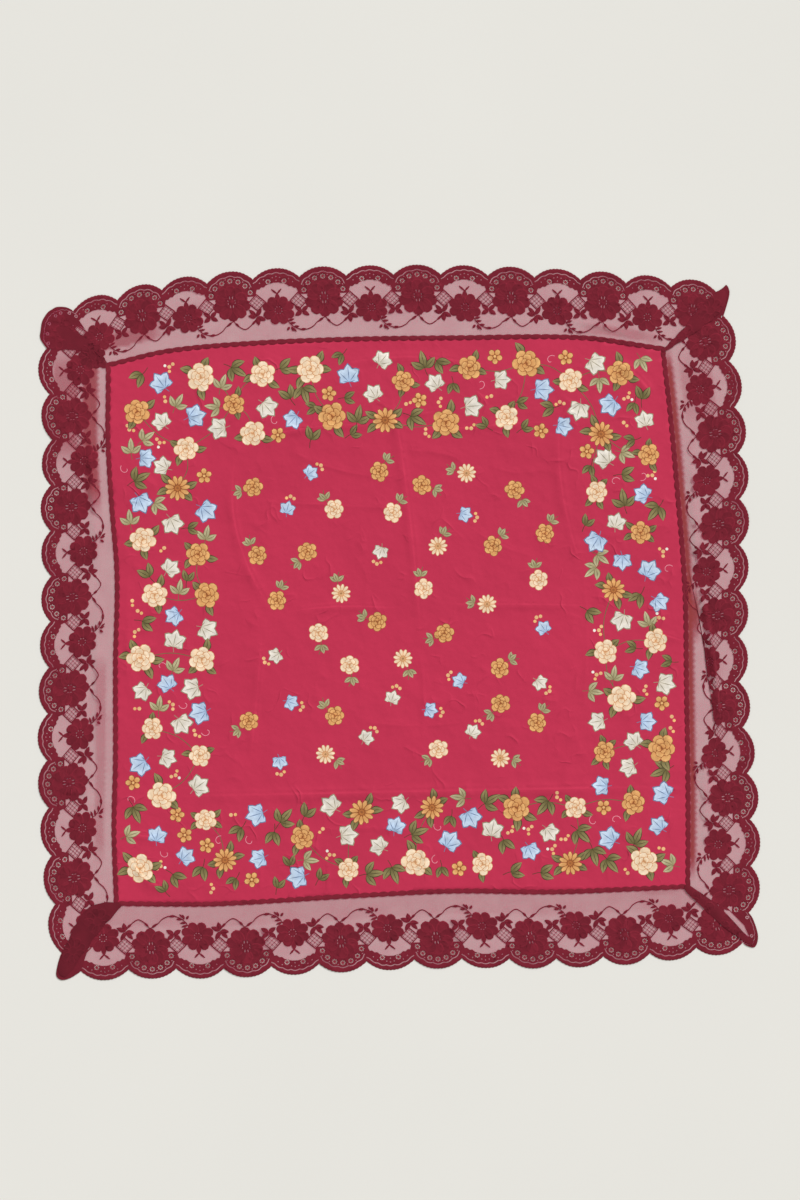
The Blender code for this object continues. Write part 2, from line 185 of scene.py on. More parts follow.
def build_crinkle():
    """Soft puckers that fine cotton keeps after washing, with thin wrinkles here and there."""
    inputs = [("Size", 30.0), ("Pucker", 0.001), ("Wrinkle", 0.0003)]
    tree, given, result = new_group("soft crinkle", inputs, ["Height"])
    total = maths(tree, "MULTIPLY", noise(tree, given.outputs[0], 3.0), given.outputs[1])
    for spread, thin in WRINKLE_SETS:
        field = noise(tree, maths(tree, "MULTIPLY", given.outputs[0], spread), 2.0)
        away = maths(tree, "ABSOLUTE", maths(tree, "SUBTRACT", field, 0.5))
        line = maths(tree, "SUBTRACT", 1.0, maths(tree, "DIVIDE", away, thin), clamp=True)
        parted = maths(tree, "MULTIPLY", noise(tree, given.outputs[0], 1.0), WRINKLE_GAIN)
        soft = maths(tree, "MULTIPLY", line, line)
        broken = maths(tree, "MULTIPLY", soft, maths(tree, "SUBTRACT", parted, WRINKLE_FROM, clamp=True))
        total = maths(tree, "MULTIPLY_ADD", broken, given.outputs[2], total)
    tree.links.new(total, result.inputs["Height"])
    return tree


def build_dye():
    """Dye that took a little unevenly: a tone round 1."""
    inputs = [("Patch size", 9.0), ("Strength", 0.2)]
    tree, given, result = new_group("uneven dye", inputs, ["Tone"])
    centred = maths(tree, "SUBTRACT", noise(tree, given.outputs[0], 4.0), 0.5)
    tree.links.new(maths(tree, "MULTIPLY_ADD", centred, given.outputs[1], 1.0), result.inputs["Tone"])
    return tree


weave, crinkle, uneven_dye = build_weave(), build_crinkle(), build_dye()
print("node groups:", [group.name for group in bpy.data.node_groups])

# %% [markdown]
# ## Finishes
#
# The cotton takes its colour from paint stored on the mesh, as a printed cloth takes ink, and the
# weave and dye only vary it; the weave darkens the gaps between threads with painted shade. The lace
# has two finishes: close work, which is solid thread, and net, which is sheer. Cutting every hole of
# the net as geometry would take millions of faces, so the net's holes are an alpha pattern: three
# waves at 60 degrees add up to a honeycomb. Where the net lies folded on itself, a value on the mesh
# makes it closer, and browner with a painted warm shade.

# %% Colours


def dye(red, green, blue):
    """A linear colour from the 0 to 255 values that a screen shows."""
    shares = [value / 255 for value in (red, green, blue)]
    return tuple(s / 12.92 if s <= 0.04045 else ((s + 0.055) / 1.055) ** 2.4 for s in shares)


FIELD = dye(192, 45, 78)
BACK = dye(206, 92, 116)
LACE_WORK = dye(118, 28, 44)
LACE_NET = dye(185, 56, 96)
DOUBLED_NET_SHADE = dye(151, 52, 54)          # net that lies folded on itself, browned by a painted warm shade
print("field, close work and net:", [[round(c, 3) for c in dyed] for dyed in (FIELD, LACE_WORK, LACE_NET)])

# %% Helpers for materials
GLINT = 0.2                             # cotton shines little


def new_material(name, roughness, sheen=0.0):
    material = bpy.data.materials.new(name)
    material.use_nodes = True
    tree = material.node_tree
    shader = tree.nodes["Principled BSDF"]
    shader.inputs["Roughness"].default_value = roughness
    shader.inputs["Sheen Weight"].default_value = sheen
    shader.inputs["Specular IOR Level"].default_value = GLINT
    return material, tree, shader


def use_group(tree, group, **values):
    node = add_node(tree, "ShaderNodeGroup", node_tree=group)
    return feed(tree, node, **values)


def tint(tree, shader, colour, tone):
    """Base Color is a colour times a tone."""
    node = add_node(tree, "ShaderNodeVectorMath", operation="SCALE")
    if isinstance(colour, bpy.types.NodeSocket):
        tree.links.new(colour, node.inputs[0])
    else:
        node.inputs[0].default_value = colour
    tree.links.new(tone, node.inputs["Scale"])
    tree.links.new(node.outputs[0], shader.inputs["Base Color"])


def bump(tree, shader, height, distance):
    node = feed(tree, add_node(tree, "ShaderNodeBump"), Height=height, Distance=distance)
    tree.links.new(node.outputs[0], shader.inputs["Normal"])


def attribute(tree, name):
    return add_node(tree, "ShaderNodeAttribute", attribute_name=name)


# %% Cotton
COTTON_THREADS, COTTON_THREAD_HIGH = 2600.0, 0.00002   # threads in a metre, and their relief


def cotton_material(name, roughness, patch_size, patchy, printed):
    """Fine cotton, coloured by the ink stored on the mesh or by the paler show-through of the back."""
    material, tree, shader = new_material(name, roughness, 0.05)
    threads = use_group(tree, weave, Threads_per_metre=COTTON_THREADS)
    patches = use_group(tree, uneven_dye, Patch_size=patch_size, Strength=patchy)
    puckers = use_group(tree, crinkle, Size=26.0, Pucker=0.0024, Wrinkle=0.0007)
    # the weave's tone paints shade into the gaps between threads
    tone = maths(tree, "MULTIPLY", threads.outputs["Tone"], patches.outputs["Tone"])
    colour = BACK
    if printed:
        brushed = use_group(tree, uneven_dye, Patch_size=190.0, Strength=0.7)
        off_one = maths(tree, "SUBTRACT", brushed.outputs["Tone"], 1.0)
        inked = attribute(tree, "printed").outputs["Fac"]
        tone = maths(tree, "MULTIPLY", tone, maths(tree, "MULTIPLY_ADD", off_one, inked, 1.0))
        colour = attribute(tree, "ink").outputs["Color"]
    tint(tree, shader, colour, tone)
    high = maths(tree, "MULTIPLY_ADD", threads.outputs["Height"], COTTON_THREAD_HIGH,
                 puckers.outputs["Height"])
    bump(tree, shader, high, 1.0)
    return material


# %% Close work and net
LACE_THREADS, LACE_THREAD_HIGH = 1500.0, 0.0001
NET_PITCH = 0.0013                      # one cell of the net, in metres
NET_WAVES = (-1.3, 1.6)                 # sum of the waves on a thread and in a gap
NET_COVER = (0.57, 0.15)                # share of light that a thread and a gap stop
# share of light that net folded on itself stops, made darker still as a painted warm shade
DOUBLED_SHADE_COVER = 0.88


def work_material():
    """Close lace work: solid thread, with a tone stored on the mesh for each petal."""
    material, tree, shader = new_material("lace work", 0.9, 0.03)
    threads = use_group(tree, weave, Threads_per_metre=LACE_THREADS)
    patches = use_group(tree, uneven_dye, Patch_size=55.0, Strength=0.5)
    # the weave's tone paints shade into the gaps between threads
    tone = maths(tree, "MULTIPLY", threads.outputs["Tone"], patches.outputs["Tone"])
    tone = maths(tree, "MULTIPLY", tone, attribute(tree, "tone").outputs["Fac"])
    tint(tree, shader, LACE_WORK, tone)
    bump(tree, shader, threads.outputs["Height"], LACE_THREAD_HIGH)
    return material


def net_material():
    """Fine net: a honeycomb of threads that leaves most of the floor to be seen."""
    material, tree, shader = new_material("lace net", 0.9, 0.03)
    place = add_node(tree, "ShaderNodeTexCoord").outputs["Object"]
    pace = 4 * math.pi / (math.sqrt(3) * NET_PITCH)
    total = None
    for way in (0.0, math.radians(120), math.radians(240)):
        dot = add_node(tree, "ShaderNodeVectorMath", operation="DOT_PRODUCT")
        tree.links.new(place, dot.inputs[0])
        dot.inputs[1].default_value = (pace * math.cos(way), pace * math.sin(way), 0.0)
        wave = maths(tree, "COSINE", dot.outputs["Value"])
        total = wave if total is None else maths(tree, "ADD", total, wave)
    cover = feed(tree, add_node(tree, "ShaderNodeMapRange", interpolation_type="SMOOTHSTEP"),
                 Value=total, From_Min=NET_WAVES[0], From_Max=NET_WAVES[1], To_Min=NET_COVER[0],
                 To_Max=NET_COVER[1])
    uneven = use_group(tree, uneven_dye, Patch_size=40.0, Strength=0.3)
    cover = maths(tree, "MULTIPLY", cover.outputs["Result"], uneven.outputs["Tone"], clamp=True)
    # The value "doubled" marks net folded on itself: it raises the cover and mixes in a brown painted warm
    # shade.
    doubled = attribute(tree, "doubled").outputs["Fac"]
    more = maths(tree, "SUBTRACT", DOUBLED_SHADE_COVER, cover)
    tree.links.new(maths(tree, "MULTIPLY_ADD", more, doubled, cover), shader.inputs["Alpha"])
    colour = add_node(tree, "ShaderNodeMix", data_type="RGBA")
    tree.links.new(doubled, colour.inputs["Factor"])
    colour.inputs[6].default_value = (*LACE_NET, 1.0)
    colour.inputs[7].default_value = (*DOUBLED_NET_SHADE, 1.0)
    tree.links.new(colour.outputs[2], shader.inputs["Base Color"])
    return material


# %% Floor
FLOOR_COLOUR = (0.80, 0.79, 0.747)
FLOOR_SIZE = 12.0


def floor_material():
    material, tree, shader = new_material("pale floor", 0.9)
    patches = use_group(tree, uneven_dye, Patch_size=2.2, Strength=0.05)
    tint(tree, shader, FLOOR_COLOUR, patches.outputs["Tone"])
    return material


bpy.ops.mesh.primitive_plane_add(size=FLOOR_SIZE)
floor = bpy.context.object
floor.name = "floor"
floor.data.materials.append(floor_material())
print("floor", FLOOR_SIZE, "m across")

# %% [markdown]
# ## The shape of the scarf
#
# A laid-out scarf is never a true square: its sides bow, and the lace spreads wider in some places
# than in others. Each side is a short table of sections, read as a smooth curve, and everything on
# that side is then placed by how far along it lies and how far out. These are the solids' sizes.
# Only each side's first scallop differs: it is moved 1 to 4 mm to its place in the photo.

# %% Tables of the sides
Side = namedtuple("Side", "begin finish scallops large_first first pitch crowd bunch sections")
Section = namedtuple("Section", "along bow reach")
SIDES = {
    "top": Side("top_left", "top_right", 14, False, -43.7, 57.4, -3.9, -0.2, (
        (-50, -9, 68), (0, 0, 79), (75, 15, 93.5), (180, 21.5, 102.5), (300, 23, 104), (430, 21, 101.3),
        (590, 16.5, 90.3), (690, 0, 79.5), (760, -12, 70.5))),
    "right": Side("top_right", "bottom_right", 13, True, -40, 57.5, 1.2, -0.4, (
        (-45, -1, 77), (0, 0, 81.5), (75, 5, 87), (170, 9.5, 88.6), (300, 13.5, 82.3), (418, 10, 76.8),
        (531, 6.5, 81.6), (600, 3.5, 82.6), (670, 0, 79.5), (710, -2, 75.8))),
    "bottom": Side("bottom_right", "bottom_left", 14, True, -67.9, 59.1, -0.9, -3, (
        (-66, 0, 74), (0, 0, 79), (60, 1, 84), (168, 1.8, 86.3), (290, -3, 82.6), (405, -1.2, 82.9),
        (584, 4, 86.3), (650, 2.5, 84.5), (712, 0, 84), (765, 0, 84.8))),
    "left": Side("bottom_left", "top_left", 13, False, -62, 58.1, 1.9, 7.9, (
        (-60, 0, 71), (0, 0, 77.5), (90, 1.5, 82.6), (181, -1.7, 84.8), (299, -3.5, 80.6),
        (409, -7, 76.4), (503, -1.2, 76.2), (581, 1.8, 72.8), (640, 0.5, 75.5), (670, 0, 77),
        (700, 0, 78.5))),
}
for name, side in SIDES.items():
    SIDES[name] = side._replace(sections=[Section(*row) for row in side.sections])

Corner = namedtuple("Corner", "square lobe upper lower_end free_bow")
CORNERS = {
    "top_left": Corner((-361, 321), ((-447.5, 355), (-447, 365.5), (-445, 377),
                       (-439, 387), (-433, 391.5), (-427, 394.5), (-417, 394.5),
                       (-409, 391.5)), "top", 0.714, 0),
    "top_right": Corner((329, 341), ((401, 415.5), (406, 419), (410, 422),
                        (413.5, 415), (413, 407), (409.5, 394), (405.5, 382)),
                        "top", 0.333, 4),
    "bottom_right": Corner((360, -328), ((443, -370), (448.5, -386), (449, -397),
                           (445, -405.5), (436, -404)), "right", 0.6, -3),
    "bottom_left": Corner((-351, -349.5), ((-410, -444), (-421, -446.5), (-427.5, -441),
                          (-426, -428), (-422.5, -416)), "left", 0.75, 3),
}
print("scallops:", {name: side.scallops for name, side in SIDES.items()})

# %% Places along a side


def smooth_step(value):
    value = np.clip(value, 0.0, 1.0)
    return value * value * (3.0 - 2.0 * value)


def between_sections(sections, column, along):
    """One column of a side's table, read as a smooth curve, and straight beyond its ends."""
    xs = np.array([row.along for row in sections], float)
    ys = np.array([getattr(row, column) for row in sections])
    count = np.arange(len(xs))
    low, high = np.maximum(count - 1, 0), np.minimum(count + 1, len(xs) - 1)
    slopes = (ys[high] - ys[low]) / (xs[high] - xs[low])
    i = np.clip(np.searchsorted(xs, along, side="right") - 1, 0, len(xs) - 2)
    span = xs[i + 1] - xs[i]
    t = np.clip((along - xs[i]) / span, 0, 1)
    curve = (ys[i] * (1 + 2 * t) * (1 - t) ** 2 + ys[i + 1] * t * t * (3 - 2 * t)
             + span * t * (1 - t) * (slopes[i] * (1 - t) - slopes[i + 1] * t))
    return curve + slopes[0] * np.minimum(along - xs[0], 0) + slopes[-1] * np.maximum(along - xs[-1], 0)


def side_axes(side):
    """Where a side begins, its direction, the direction away from the cloth, and its length."""
    begin, finish = (np.array(CORNERS[key].square) for key in (side.begin, side.finish))
    length = np.hypot(*(finish - begin))
    run = (finish - begin) / length
    return begin, run, np.array((-run[1], run[0])), length


def place_on(side, column, along, outward):
    """Places along a side, counted outward from its heading's bow or from its reach."""
    begin, run, out, _length = side_axes(side)
    along = np.asarray(along, float)
    reach = between_sections(side.sections, column, along) + outward
    return begin + run * along[..., None] + out * reach[..., None]


def heading_point(side, along, outward=0.0):
    return place_on(side, "bow", along, outward)


def edge_point(side, along, outward=0.0):
    return place_on(side, "reach", along, outward)


def valley(side, number):
    """How far along the side the valley before scallop `number` lies."""
    turn = math.pi * number / side.scallops
    return (side.first + side.pitch * number + side.crowd * math.sin(2 * turn)
            + side.bunch * math.sin(turn))


def is_large(side, number):
    return (number % 2 == 0) == side.large_first


print("lengths of the sides:", {name: round(float(side_axes(side)[3]), 1) for name, side in SIDES.items()})

# %% [markdown]
# ## Drawing and cutting a plan
#
# Cloth could be a grid with a picture on it, but a picture blurs when one comes near. Here every
# petal, leaf and eyelet is an outline, and one constrained triangulation cuts the whole sheet along
# all of them. Shapes are painted in order, so a triangle belongs to the last shape that covers it.

# %% The plan


class Plan:
    """Outlines drawn flat, in millimetres, each painted over those before it."""

    def __init__(self):
        self.points, self.levels, self.edges = [], [], []
        self.faces, self.paints = [], []

    def add(self, points, level=0.0):
        first = len(self.points)
        self.points += [Vector((float(x), float(y))) for x, y in points]
        self.levels += [level] * len(points)
        return first

    def line(self, points, level=0.0, closed=False):
        """A line that the triangles keep to; level is its relief."""
        first = self.add(points, level)
        self.edges += [(first + k, first + k + 1) for k in range(len(points) - 1)]
        if closed:
            self.edges.append((first + len(points) - 1, first))

    def shape(self, outline, paint, level=0.0):
        outline = np.asarray(outline, float)
        after = np.roll(outline, -1, axis=0)
        if (outline[:, 0] * after[:, 1] - after[:, 0] * outline[:, 1]).sum() < 0:
            outline = outline[::-1]
        first = self.add(outline, level)
        self.faces.append(list(range(first, first + len(outline))))
        self.paints.append(paint)

    def press(self, outline):
        """Take the relief from everything drawn so far inside an outline."""
        places = np.array([tuple(point) for point in self.points]).reshape(-1, 2)
        for k in np.flatnonzero(inside(places, outline)):
            self.levels[k] = 0.0

    def cut(self):
        """Places, triangles inside the first shape, each one's topmost shape, relief, sources."""
        places, _e, faces, sources, _s, owners = geometry.delaunay_2d_cdt(
            self.points, self.edges, self.faces, 0, 1e-4, True)
        kept = [(face, max(owned)) for face, owned in zip(faces, owners) if owned and min(owned) == 0]
        levels = np.array([max((self.levels[k] for k in source), default=np.nan) for source in sources])
        self.fill_crossings(levels, np.array(faces))
        return np.array([tuple(p) for p in places]), kept, levels, sources

    @staticmethod
    def fill_crossings(levels, faces):
        """A place where two outlines cross takes the mean relief of the places round it."""
        pairs = np.concatenate([faces[:, [0, 1]], faces[:, [1, 2]], faces[:, [2, 0]]])
        pairs = pairs[np.isnan(levels[pairs[:, 0]]) & ~np.isnan(levels[pairs[:, 1]])]
        total, count = np.zeros(len(levels)), np.zeros(len(levels))
        np.add.at(total, pairs[:, 0], levels[pairs[:, 1]])
        np.add.at(count, pairs[:, 0], 1)
        crossings = np.isnan(levels)
        levels[crossings] = (total / np.maximum(count, 1))[crossings]


trial = Plan()
trial.shape([(0, 0), (40, 0), (40, 40), (0, 40)], "cloth")
trial.shape([(10, 10), (30, 10), (20, 30)], "ink")
print("a printed triangle cuts a square into", len(trial.cut()[1]), "triangles")

# %% Outlines to draw with


def evenly(count, turn=0.0):
    """Angles spread evenly round a circle."""
    return [turn + 2 * math.pi * k / count for k in range(count)]


def step_from(x, y, reach, angle):
    return x + reach * math.cos(angle), y + reach * math.sin(angle)


def closed_line(outline):
    return np.concatenate([outline, outline[:1]])


def petal(reach, half_long, half_wide, angle, notch=0.0, steps=12, centre=(0.0, 0.0)):
    """An oval petal with its middle at reach from the flower's centre, dented at its tip."""
    turn = np.linspace(-math.pi, math.pi, steps, endpoint=False)
    dent = 1 - notch * np.exp(-(turn / 0.5) ** 2)
    out, aside = reach + half_long * np.cos(turn) * dent, half_wide * np.sin(turn)
    cos, sin = math.cos(angle), math.sin(angle)
    return np.stack([centre[0] + out * cos - aside * sin, centre[1] + out * sin + aside * cos], 1)


def leaf(start, tip, half_wide, bend=0.0, steps=6, share=1.0):
    """A pointed leaf from start to tip, bent sideways; share below 1 keeps it nearer its midrib."""
    start, tip = np.array(start, float), np.array(tip, float)
    run = tip - start
    beside = np.array((-run[1], run[0])) / max(np.hypot(*run), 1e-6)
    u = np.linspace(0, 1, steps + 1)
    middle = start + run * u[:, None] + beside * (bend * np.sin(math.pi * u))[:, None]
    wide = half_wide * share * np.sin(math.pi * u ** 0.85) ** 0.8
    wide[0] = wide[-1] = 0.0
    left, right = middle + beside * wide[:, None], middle - beside * wide[:, None]
    return np.concatenate([left, right[-2:0:-1]])


def ring(centre, radius, steps=8, stretch=1.0):
    angles = np.linspace(0, 2 * math.pi, steps, endpoint=False)
    return np.stack([centre[0] + radius * stretch * np.cos(angles), centre[1] + radius * np.sin(angles)], 1)


def smooth_line(points, steps=5):
    """A smooth curve through the points."""
    points = [np.array(p, float) for p in points]
    padded = [2 * points[0] - points[1]] + points + [2 * points[-1] - points[-2]]
    line = []
    for a, b, c, d in zip(padded, padded[1:], padded[2:], padded[3:]):
        for k in range(steps):
            t = k / steps
            line.append(0.5 * (2 * b + (c - a) * t + (2 * a - 5 * b + 4 * c - d) * t ** 2
                               + (3 * b - a - 3 * c + d) * t ** 3))
    return np.array(line + [points[-1]])


def ribbon(line, half_wide):
    """A band along a line; half_wide is one number or one for each point."""
    line = np.array(line, float)
    ahead = np.gradient(line, axis=0)
    beside = np.stack([-ahead[:, 1], ahead[:, 0]], 1) / np.maximum(np.hypot(*ahead.T), 1e-6)[:, None]
    wide = np.broadcast_to(np.asarray(half_wide, float), len(line))[:, None]
    return np.concatenate([line + beside * wide, (line - beside * wide)[::-1]])


print("a petal has", len(petal(15.0, 10.0, 7.5, 0.0)), "places, a leaf", len(leaf((0, 0), (9, 9), 3.0)))

# %% Grids and distances


def triangle_grid(outline, step, clear=1.5):
    """Points of an even triangular grid inside an outline."""
    low, high = outline.min(axis=0), outline.max(axis=0)
    rows = []
    for row, y in enumerate(np.arange(low[1], high[1], step * math.sqrt(3) / 2)):
        xs = np.arange(low[0] + (step / 2 if row % 2 else 0), high[0], step)
        rows.append(np.stack([xs, np.full(len(xs), y)], 1))
    grid = np.concatenate(rows)
    grid = grid[inside(grid, outline)]
    return grid[np.abs(beside_line(grid, closed_line(outline))[0]) > clear]


def inside(points, outline):
    """Which points lie inside an outline."""
    points = np.asarray(points, float)
    hit = np.zeros(len(points), bool)
    for a, b in zip(outline, np.roll(outline, -1, axis=0)):
        if a[1] == b[1]:
            continue
        crosses = (a[1] > points[:, 1]) != (b[1] > points[:, 1])
        reach = a[0] + (points[:, 1] - a[1]) / (b[1] - a[1]) * (b[0] - a[0])
        hit ^= crosses & (points[:, 0] < reach)
    return hit


def beside_line(points, line, block=1500):
    """Signed distance of each point to a line, and where along it the nearest place is, 0 to 1."""
    points, line = np.asarray(points, float), np.asarray(line, float)
    runs = np.diff(line, axis=0)
    squares = np.maximum((runs ** 2).sum(axis=1), 1e-12)
    signed, place = np.zeros(len(points)), np.zeros(len(points))
    for first in range(0, len(points), block):
        part = slice(first, first + block)
        off = points[part, None] - line[:-1]
        t = np.clip((off * runs).sum(axis=2) / squares, 0, 1)
        off -= t[..., None] * runs
        apart = np.hypot(off[..., 0], off[..., 1])
        near = (np.arange(len(apart)), apart.argmin(axis=1))
        cross = runs[near[1], 0] * off[near][:, 1] - runs[near[1], 1] * off[near][:, 0]
        signed[part] = np.where(cross < 0, -1.0, 1.0) * apart[near]
        place[part] = (near[1] + t[near]) / len(runs)
    return signed, place


print("grid points 10 mm apart in a disc of 50:", len(triangle_grid(ring((0, 0), 50.0, 24), 10.0)))

# %% [markdown]
# ## Folds
#
# The scarf was folded away, so pressed creases cross the square, and the lace has lifted and tucked
# where it is fuller than its place. A cloth simulation gives soft random folds, but these creases
# are few and each has its place, so they are listed one by one: a crest of three points, a height
# and a foot. A small pinch beside each crest gives the dark line that a pressed crease shows.

# %% Tables of the folds
Fold = namedtuple("Fold", "x0 y0 x1 y1 x2 y2 rise foot steep", defaults=(1.0,))


def fold_rows(*rows):
    return [Fold(*row) for row in rows]


CLOTH_FOLDS = fold_rows(
    (-290, -219, 20, -212, 350, -206, 2.2, 11), (-12, 300, 12, 140, 27, -30, 1.8, 10),
    (-205, 205, -203, 110, -158, 12, 2, 10), (-172, -12, -178, -90, -187, -180, 1.4, 9),
    (-140, 12, -75, 19, -4, 17, 1.5, 8), (60, 22, 150, 22, 240, 20, 1.4, 8),
    (200, 250, 203, 165, 228, 66, 1.8, 10), (-190, 226, -105, 243, -22, 246, 1.5, 8),
    (30, 236, 120, 246, 188, 250, 1.2, 8), (272, 326, 300, 304, 316, 280, 3, 11),
    (-338, -290, -314, -322, -282, -334, 2.6, 10), (-70, 322, 15, 331, 95, 322, 1.8, 9),
    (-345, -34, -325, -31, -300, -26, 1.8, 7), (-345, -266, -325, -267, -300, -269, 1.8, 7),
    (322, -12, 338, -18, 354, -23, 1.6, 7), (34, -325, 33, -306, 32, -285, 1.5, 7),
    (-90, -336, -89, -318, -90, -300, 1.6, 7), (152, -325, 150, -305, 146, -284, 1.5, 7))
FINE_CREASES = fold_rows(
    (-165, 151, -78, 147, 10, 143, 0.8, 5), (-10, 216, 60, 211, 85, 191, 1, 6),
    (-135, 216, -80, 193, -10, 181, 0.8, 5), (-350, -7, -330, -9, -306, -8, 1, 5),
    (-350, 92, -322, 95, -296, 90, 0.8, 5), (-175, -334, -173, -316, -176, -298, 1, 5),
    (262, -322, 260, -304, 264, -288, 0.8, 5), (322, -214, 338, -210, 354, -206, 1, 5),
    (300, 118, 322, 122, 340, 119, 0.8, 5), (27, -40, 32, -84, 30, -150, 0.9, 6),
    (-335, 130, -338, 20, -336, -100, 0.9, 9), (232, 60, 236, -30, 230, -120, 0.7, 6),
    (-60, -120, 20, -128, 90, -122, 0.6, 5), (90, 120, 130, 96, 172, 84, 0.7, 5),
    (-120, -262, -40, -256, 40, -262, 0.7, 5), (-30, 282, 10, 262, 60, 268, 0.8, 5),
    (-60, 90, -40, 60, -44, 32, 0.6, 5), (110, 200, 150, 188, 190, 196, 0.7, 5))
LACE_FOLDS = {
    "top": fold_rows(
        (-250, 376, -252, 395, -249, 417, 2.2, 12), (-20, 381, -16, 402, -14, 425, 2, 12),
        (205, 379, 203, 398, 206, 420, 2.4, 12), (206, 376, 250, 372, 300, 354, 1.6, 8),
        (216, 362, 262, 356, 304, 344, 1.4, 7)),
    "right": fold_rows(
        (364, 225, 372, 110, 376, 62, 4.5, 9), (376, 48, 392, -30, 402, -140, 6, 10, 0.4),
        (382, -165, 384, -220, 384, -285, 3.5, 9)),
    "bottom": fold_rows(
        (285, -362, 283, -380, 286, -402, 2.2, 12), (70, -364, 72, -384, 69, -408, 2.4, 12),
        (-170, -376, -168, -396, -171, -420, 2.2, 12)),
    "left": fold_rows(
        (-386, 250, -381, 150, -374, 60, 3.5, 9), (-374, 35, -376, -80, -377, -170, 3, 9),
        (-384, -210, -403, -213, -422, -210, 2.2, 10)),
}
FOLD_STEPS = 14
FOLD_ENDS = 3
PINCH = 0.45                            # depth of the pinch beside a crest, as a share of its height
PINCH_AWAY, PINCH_WIDE = 0.28, 0.12     # its place and width, as shares of the fold's foot
UNEVEN = 0.6                            # share of its height that a fold loses in places
UNEVEN_PACES = (8, 21)                  # how quickly it comes and goes along the fold
print(len(CLOTH_FOLDS), "creases and", len(FINE_CREASES), "fine ones on the cloth,",
      sum(len(rows) for rows in LACE_FOLDS.values()), "on the lace")

# %% Heights of folds


def fold_line(fold, offset=0.0, step=None):
    """The fold's crest, or a line beside it, in a fixed number of steps or in steps of a length."""
    first, middle, last = (np.array(place, float) for place in (fold[0:2], fold[2:4], fold[4:6]))
    count = FOLD_STEPS if step is None else round(np.hypot(*(last - first)) / step) + 2
    u = np.linspace(0, 1, count + 1)[:, None]
    bend = middle * 2 - (first + last) / 2
    line = first * (1 - u) ** 2 + bend * 2 * u * (1 - u) + last * u ** 2
    ahead = (bend - first) * (1 - u) + (last - bend) * u
    beside = np.stack([-ahead[:, 1], ahead[:, 0]], 1) / np.hypot(*ahead.T)[:, None]
    return line + beside * offset


def fold_heights(points, folds):
    """Height of the highest fold at each point, less the pinches; steep narrows a fold's left foot."""
    high, dip = np.zeros(len(points)), np.zeros(len(points))
    for fold in folds:
        line = fold_line(fold)
        near = np.all((points > line.min(axis=0) - fold.foot) & (points < line.max(axis=0) + fold.foot), 1)
        signed, place = beside_line(points[near], line)
        slow, quick = np.sin(UNEVEN_PACES[0] * place + fold.x0), np.sin(UNEVEN_PACES[1] * place + fold.y0)
        waver = 1 - UNEVEN * (1 - slow * quick) / 2
        rise = fold.rise * waver * (1 - np.abs(2 * place - 1) ** FOLD_ENDS)
        foot = np.where(signed > 0, fold.foot * fold.steep, fold.foot)
        high[near] = np.maximum(high[near], rise * (1 - smooth_step(np.abs(signed) / foot)))
        away = (signed - PINCH_AWAY * fold.foot) / (PINCH_WIDE * fold.foot)
        dip[near] += rise * PINCH * np.exp(-away ** 2)
    return np.maximum(high - dip, 0.0)


def lines_over_folds(plan, folds, shares, step):
    """Rows of points along each fold, at shares of its foot, so that triangles follow its form."""
    for fold in folds:
        for share in shares:
            plan.add(fold_line(fold, share * fold.foot, step))


def ripple(points, size, height):
    """Slow swells that keep a sheet from lying dead flat, never below zero."""
    x, y = points[:, 0] / size, points[:, 1] / size
    swell = np.sin(x + 0.7 * np.sin(y)) * np.cos(0.9 * y + 0.6 * np.sin(1.3 * x))
    return height * (1 + swell) / 2


highest = max(CLOTH_FOLDS, key=lambda fold: fold.rise)
print("highest crease:", round(float(fold_heights(fold_line(highest), [highest]).max()), 2), "mm")

# %% [markdown]
# ## The print
#
# Screen printing lays ink in flat shapes: first a dark shape, then lighter ones over it. The print
# here is drawn the same way from a few plain motifs: an open blossom, a daisy, a small star flower,
# lobed and pointed leaves, dots and tendrils. Each motif is a function, and a rule places it.

# %% Inks
Ink = namedtuple("Ink", "inner outer centre reach")
Family = namedtuple("Family", "line deep pale")


def flat_ink(colour):
    return Ink(colour, colour, (0.0, 0.0), 1.0)


def family(line, deep, pale):
    """Three shades of one hue: the ink of its outlines, and the two ends of its fills."""
    return Family(flat_ink(dye(*line)), dye(*deep), dye(*pale))


CREAM = family((208, 150, 104), (230, 182, 130), (247, 230, 204))
APRICOT = family((150, 86, 44), (196, 122, 62), (234, 184, 120))
BLUE = family((104, 124, 160), (164, 190, 222), (206, 222, 240))
SHELL = family((152, 142, 118), (212, 202, 184), (238, 232, 222))
OLIVE = family((64, 58, 34), (94, 86, 46), (152, 140, 94))
SAGE = family((112, 100, 66), (156, 146, 104), (200, 190, 154))
TENDRIL = flat_ink(dye(226, 150, 164))
SEED = dye(132, 78, 44)
FIELD_INK = flat_ink(FIELD)
print("olive, deep and pale:", [[round(c, 3) for c in shade] for shade in (OLIVE.deep, OLIVE.pale)])

# %% Flowers
PRINT_NOTCH = 0.14                      # dent in a petal's tip
OUTLINE_LONG, OUTLINE_WIDE = 0.9, 0.8   # width of the line round a petal, at its ends and its sides


def round_petal(draw, centre, reach, half_long, half_wide, angle, inks, glow, steps):
    """One petal: an outline of line ink and a fill that pales towards its rim."""
    draw(petal(reach, half_long, half_wide, angle, PRINT_NOTCH, steps, centre), inks.line)
    fill = petal(reach + 0.3, half_long - OUTLINE_LONG, half_wide - OUTLINE_WIDE, angle, PRINT_NOTCH,
                 steps - 2, centre)
    draw(fill, Ink(inks.deep, inks.pale, centre, (reach + half_long) * glow))


# Rounds of a blossom: petals; reach, half length and half width as shares of its size; turn; steps
ROUNDS = ((6, 0.58, 0.43, 0.40, 0.0, 11), (5, 0.37, 0.32, 0.32, 0.5, 10), (3, 0.16, 0.22, 0.24, 0.2, 9))


